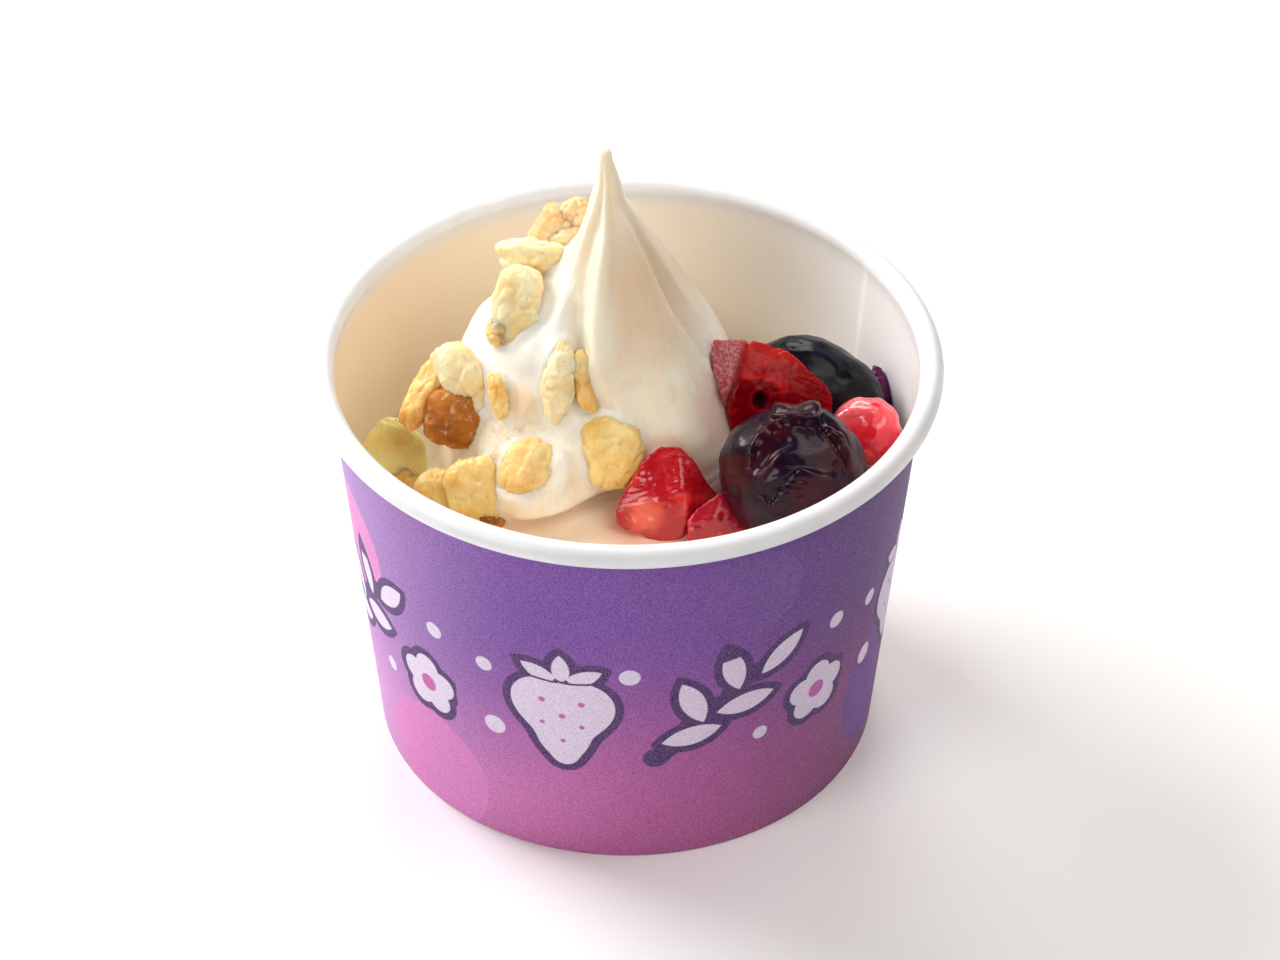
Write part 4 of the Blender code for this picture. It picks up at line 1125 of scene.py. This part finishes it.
def make_fruit():
    violet = blueberry_material("blueberry_violet", rgb(28, 8, 30), rgb(56, 10, 22), rgb(58, 34, 62), 0.3)
    black = rgb(8, 7, 12), rgb(12, 13, 26), rgb(50, 58, 90)
    black = blueberry_material("blueberry_black", *black, 0.45, 0.16, 0.18)
    n = flesh_material("berry_bright", rgb(248, 30, 52), rgb(250, 84, 98), 0.25, 0.9)
    right, up = facing_place(n, BERRIES["berry_small"][0])
    # Painted highlight: the upper left is tinted pale pink
    painted_highlight = n.times(n.ramp(up, -0.5, 3.2), n.ramp(right, 2.5, -2), 0.45)
    n.tint(painted_highlight, rgb(255, 150, 156))
    bright = n.finished()
    looks = {
        "blueberry_front": (violet, "blueberry_skin", front_blueberry_relief, 200, 150),
        "blueberry_back": (black, "blueberry_skin", back_blueberry_relief, 128, 90),
        "berry_small": (bright, "red_berry_skin", small_berry_relief, 112, 76),
    }
    for name, lump in BERRIES.items():
        look, slot, relief, sides, rings = looks[name]
        ride(lump_mesh(name + "_skin", lump, sides, rings, look, relief), name)

    n = flesh_material("strawberry_dark", rgb(126, 0, 12), rgb(188, 16, 26), 0.25, 0.1)
    right, up = facing_place(n, CUT_FRUIT["strawberry_side"][0])
    # Painted light: its top is tinted a lighter orange red
    n.tint(n.ramp(up, 0.5, 6, 0.0, 0.6), rgb(206, 50, 44))
    # Its left end is frosted and grainy
    edge = n.math("ADD", n.math("MULTIPLY_ADD", up, -0.3, right), n.times(n.noise(2), 1.2 * MM))
    grain = n.span(n.noise(0.5, 3, 0.7), 0.45, 0.65)
    frost = n.mix(grain, rgb(170, 84, 92), rgb(212, 150, 150))
    n.tint(n.ramp(edge, -5.6, -7.0, 0.0, 0.8), frost)
    # Painted shade darkens the seed pit
    pit = spots(n, n.combine(right, up), [(-2.6, -1.2, 1.1)])
    n.tint(n.ramp(pit, 0.3, -0.2, 0.0, 0.92), rgb(66, 10, 24))
    side = n.finished()

    n = flesh_material("strawberry_red", rgb(178, 14, 30), rgb(216, 50, 48), 0.3)
    right, up = facing_place(n, CUT_FRUIT["strawberry_front"][0])
    # Paler pulp on the lower left, which also paints light on the piece's lit left face
    pulp_and_painted_light = n.ramp(n.away((-3.4, -3.0, 0), n.combine(right, up)), 3.6, 0.8)
    n.tint(n.times(pulp_and_painted_light, 0.75), rgb(240, 120, 96))
    front = n.finished()

    n = flesh_material("strawberry_film", rgb(166, 14, 36), rgb(212, 50, 60), 0.25)
    cut_looks = {"strawberry_side": side, "strawberry_front": front, "strawberry_corner": n.finished()}
    for name, (centre, tips) in CUT_FRUIT.items():
        relief = side_relief if name == "strawberry_side" else flesh_relief
        ride(chunk(name + "_cut", centre, tips, cut_looks[name], relief), name)

    # Wet skin that has slid down between the back blueberry and the paper
    smear = blueberry_material("berry_juice", rgb(70, 12, 66), rgb(104, 20, 84), rgb(150, 70, 140), 0.3)
    piece = chunk("berry_juice_smear", (28.4, 9.6, 48.6), [
        (7.4, 4.9, -4), (8.8, 4.2, -4.2), (9.9, 2.2, -3.8), (10.6, -0.4, -3.2), (10.4, -2.4, -3),
        (8.6, -2, -1), (8.4, 2.4, -2.4), (7.4, 4, -5.4), (9.6, -1, -6), (8, -3, -4),
    ], smear, flesh_relief, 6)
    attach(piece, "root")


def ride(obj, node):
    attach(obj, "root")
    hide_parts(node)


# Stage

FLOOR_SIZE = 4.0
FLOOR_DROP = 0.02 * MM
LIGHT_AWAY = 0.85
LIGHT_AIM = Vector((0, 0, 0.05))
# The camera that was fitted to the cup's outline in the photograph, with the turns in degrees
CAMERA_ABOVE = 38.81
CAMERA_ROLL = 0.219
CAMERA_AWAY = 669.3 * MM
CAMERA_AIM = Vector((1.904, 0, 40.33)) * MM
LENS = 129.61
SENSOR = 36


def make_floor():
    n = Nodes("pale_floor")
    n.set(Roughness=0.6)
    n.base = n.mix(n.span(n.noise(60, 2), 0.3, 0.7), rgb(250, 250, 250), rgb(247, 247, 248))
    corner = FLOOR_SIZE / 2
    points = [(x * corner, y * corner, -FLOOR_DROP) for x, y in ((-1, -1), (1, -1), (1, 1), (-1, 1))]
    add_mesh("floor", points, [(0, 1, 2, 3)], [n.finished()])


def add_light(name, turn, height, size, energy, colour):
    """A round softbox aimed at the cup, this many degrees round from the front to +X and above level."""
    light = bpy.data.lights.new(name, "AREA")
    light.shape = "DISK"
    light.size = size
    light.energy = energy
    light.color = colour
    obj = add_object(name, light)
    turn, height = radians(turn), radians(height)
    out = Vector((sin(turn) * cos(height), -cos(turn) * cos(height), sin(height)))
    obj.location = LIGHT_AIM + LIGHT_AWAY * out
    obj.rotation_euler = (-out).to_track_quat("-Z", "Y").to_euler()


def make_lights():
    world = bpy.data.worlds.new("studio")
    bpy.context.scene.world = world
    world.use_nodes = True
    glow = world.node_tree.nodes["Background"]
    glow.inputs["Color"].default_value = (1.0, 0.97, 0.94, 1)
    glow.inputs["Strength"].default_value = 0.05
    add_light("key", -125, 35, 0.5, 7.6, (1.0, 1.0, 0.99))
    add_light("side", -48, 30, 0.5, 2.9, (1.0, 0.98, 0.95))
    add_light("back", 180, 36, 0.45, 2.5, (1.0, 0.96, 0.92))
    add_light("top", 92, 68, 0.6, 2.1, (1.0, 0.94, 0.86))
    add_light("fill", 66, 50, 0.7, 1.8, (1.0, 0.95, 0.9))


def make_camera():
    """At the photograph's angle, with a long lens."""
    above, roll = radians(CAMERA_ABOVE), radians(CAMERA_ROLL)
    back = Vector((0, -cos(above), sin(above)))
    right = Vector((1, 0, 0))
    up = back.cross(right)
    axes = (right * cos(roll) + up * sin(roll), up * cos(roll) - right * sin(roll), back)
    turned = Matrix(axes).transposed().to_4x4()
    turned.translation = CAMERA_AIM + back * CAMERA_AWAY
    lens = bpy.data.cameras.new("camera")
    lens.lens = LENS
    lens.sensor_width = SENSOR
    lens.clip_start = 10 * MM
    camera = add_object("camera", lens)
    camera.matrix_world = turned
    bpy.context.scene.camera = camera


def main():
    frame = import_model()
    ride(make_cup(), "cup_wall")
    frame["nodes"]["cup_floor"].data.materials.clear()
    frame["nodes"]["cup_floor"].data.materials.append(bpy.data.materials["coated_white_paper"])
    ride(make_yogurt(), "yogurt")
    make_granola()
    make_fruit()
    make_floor()
    make_lights()
    make_camera()
    settings = bpy.context.scene.view_settings
    settings.view_transform = "Standard"
    settings.exposure = 0.0


main()
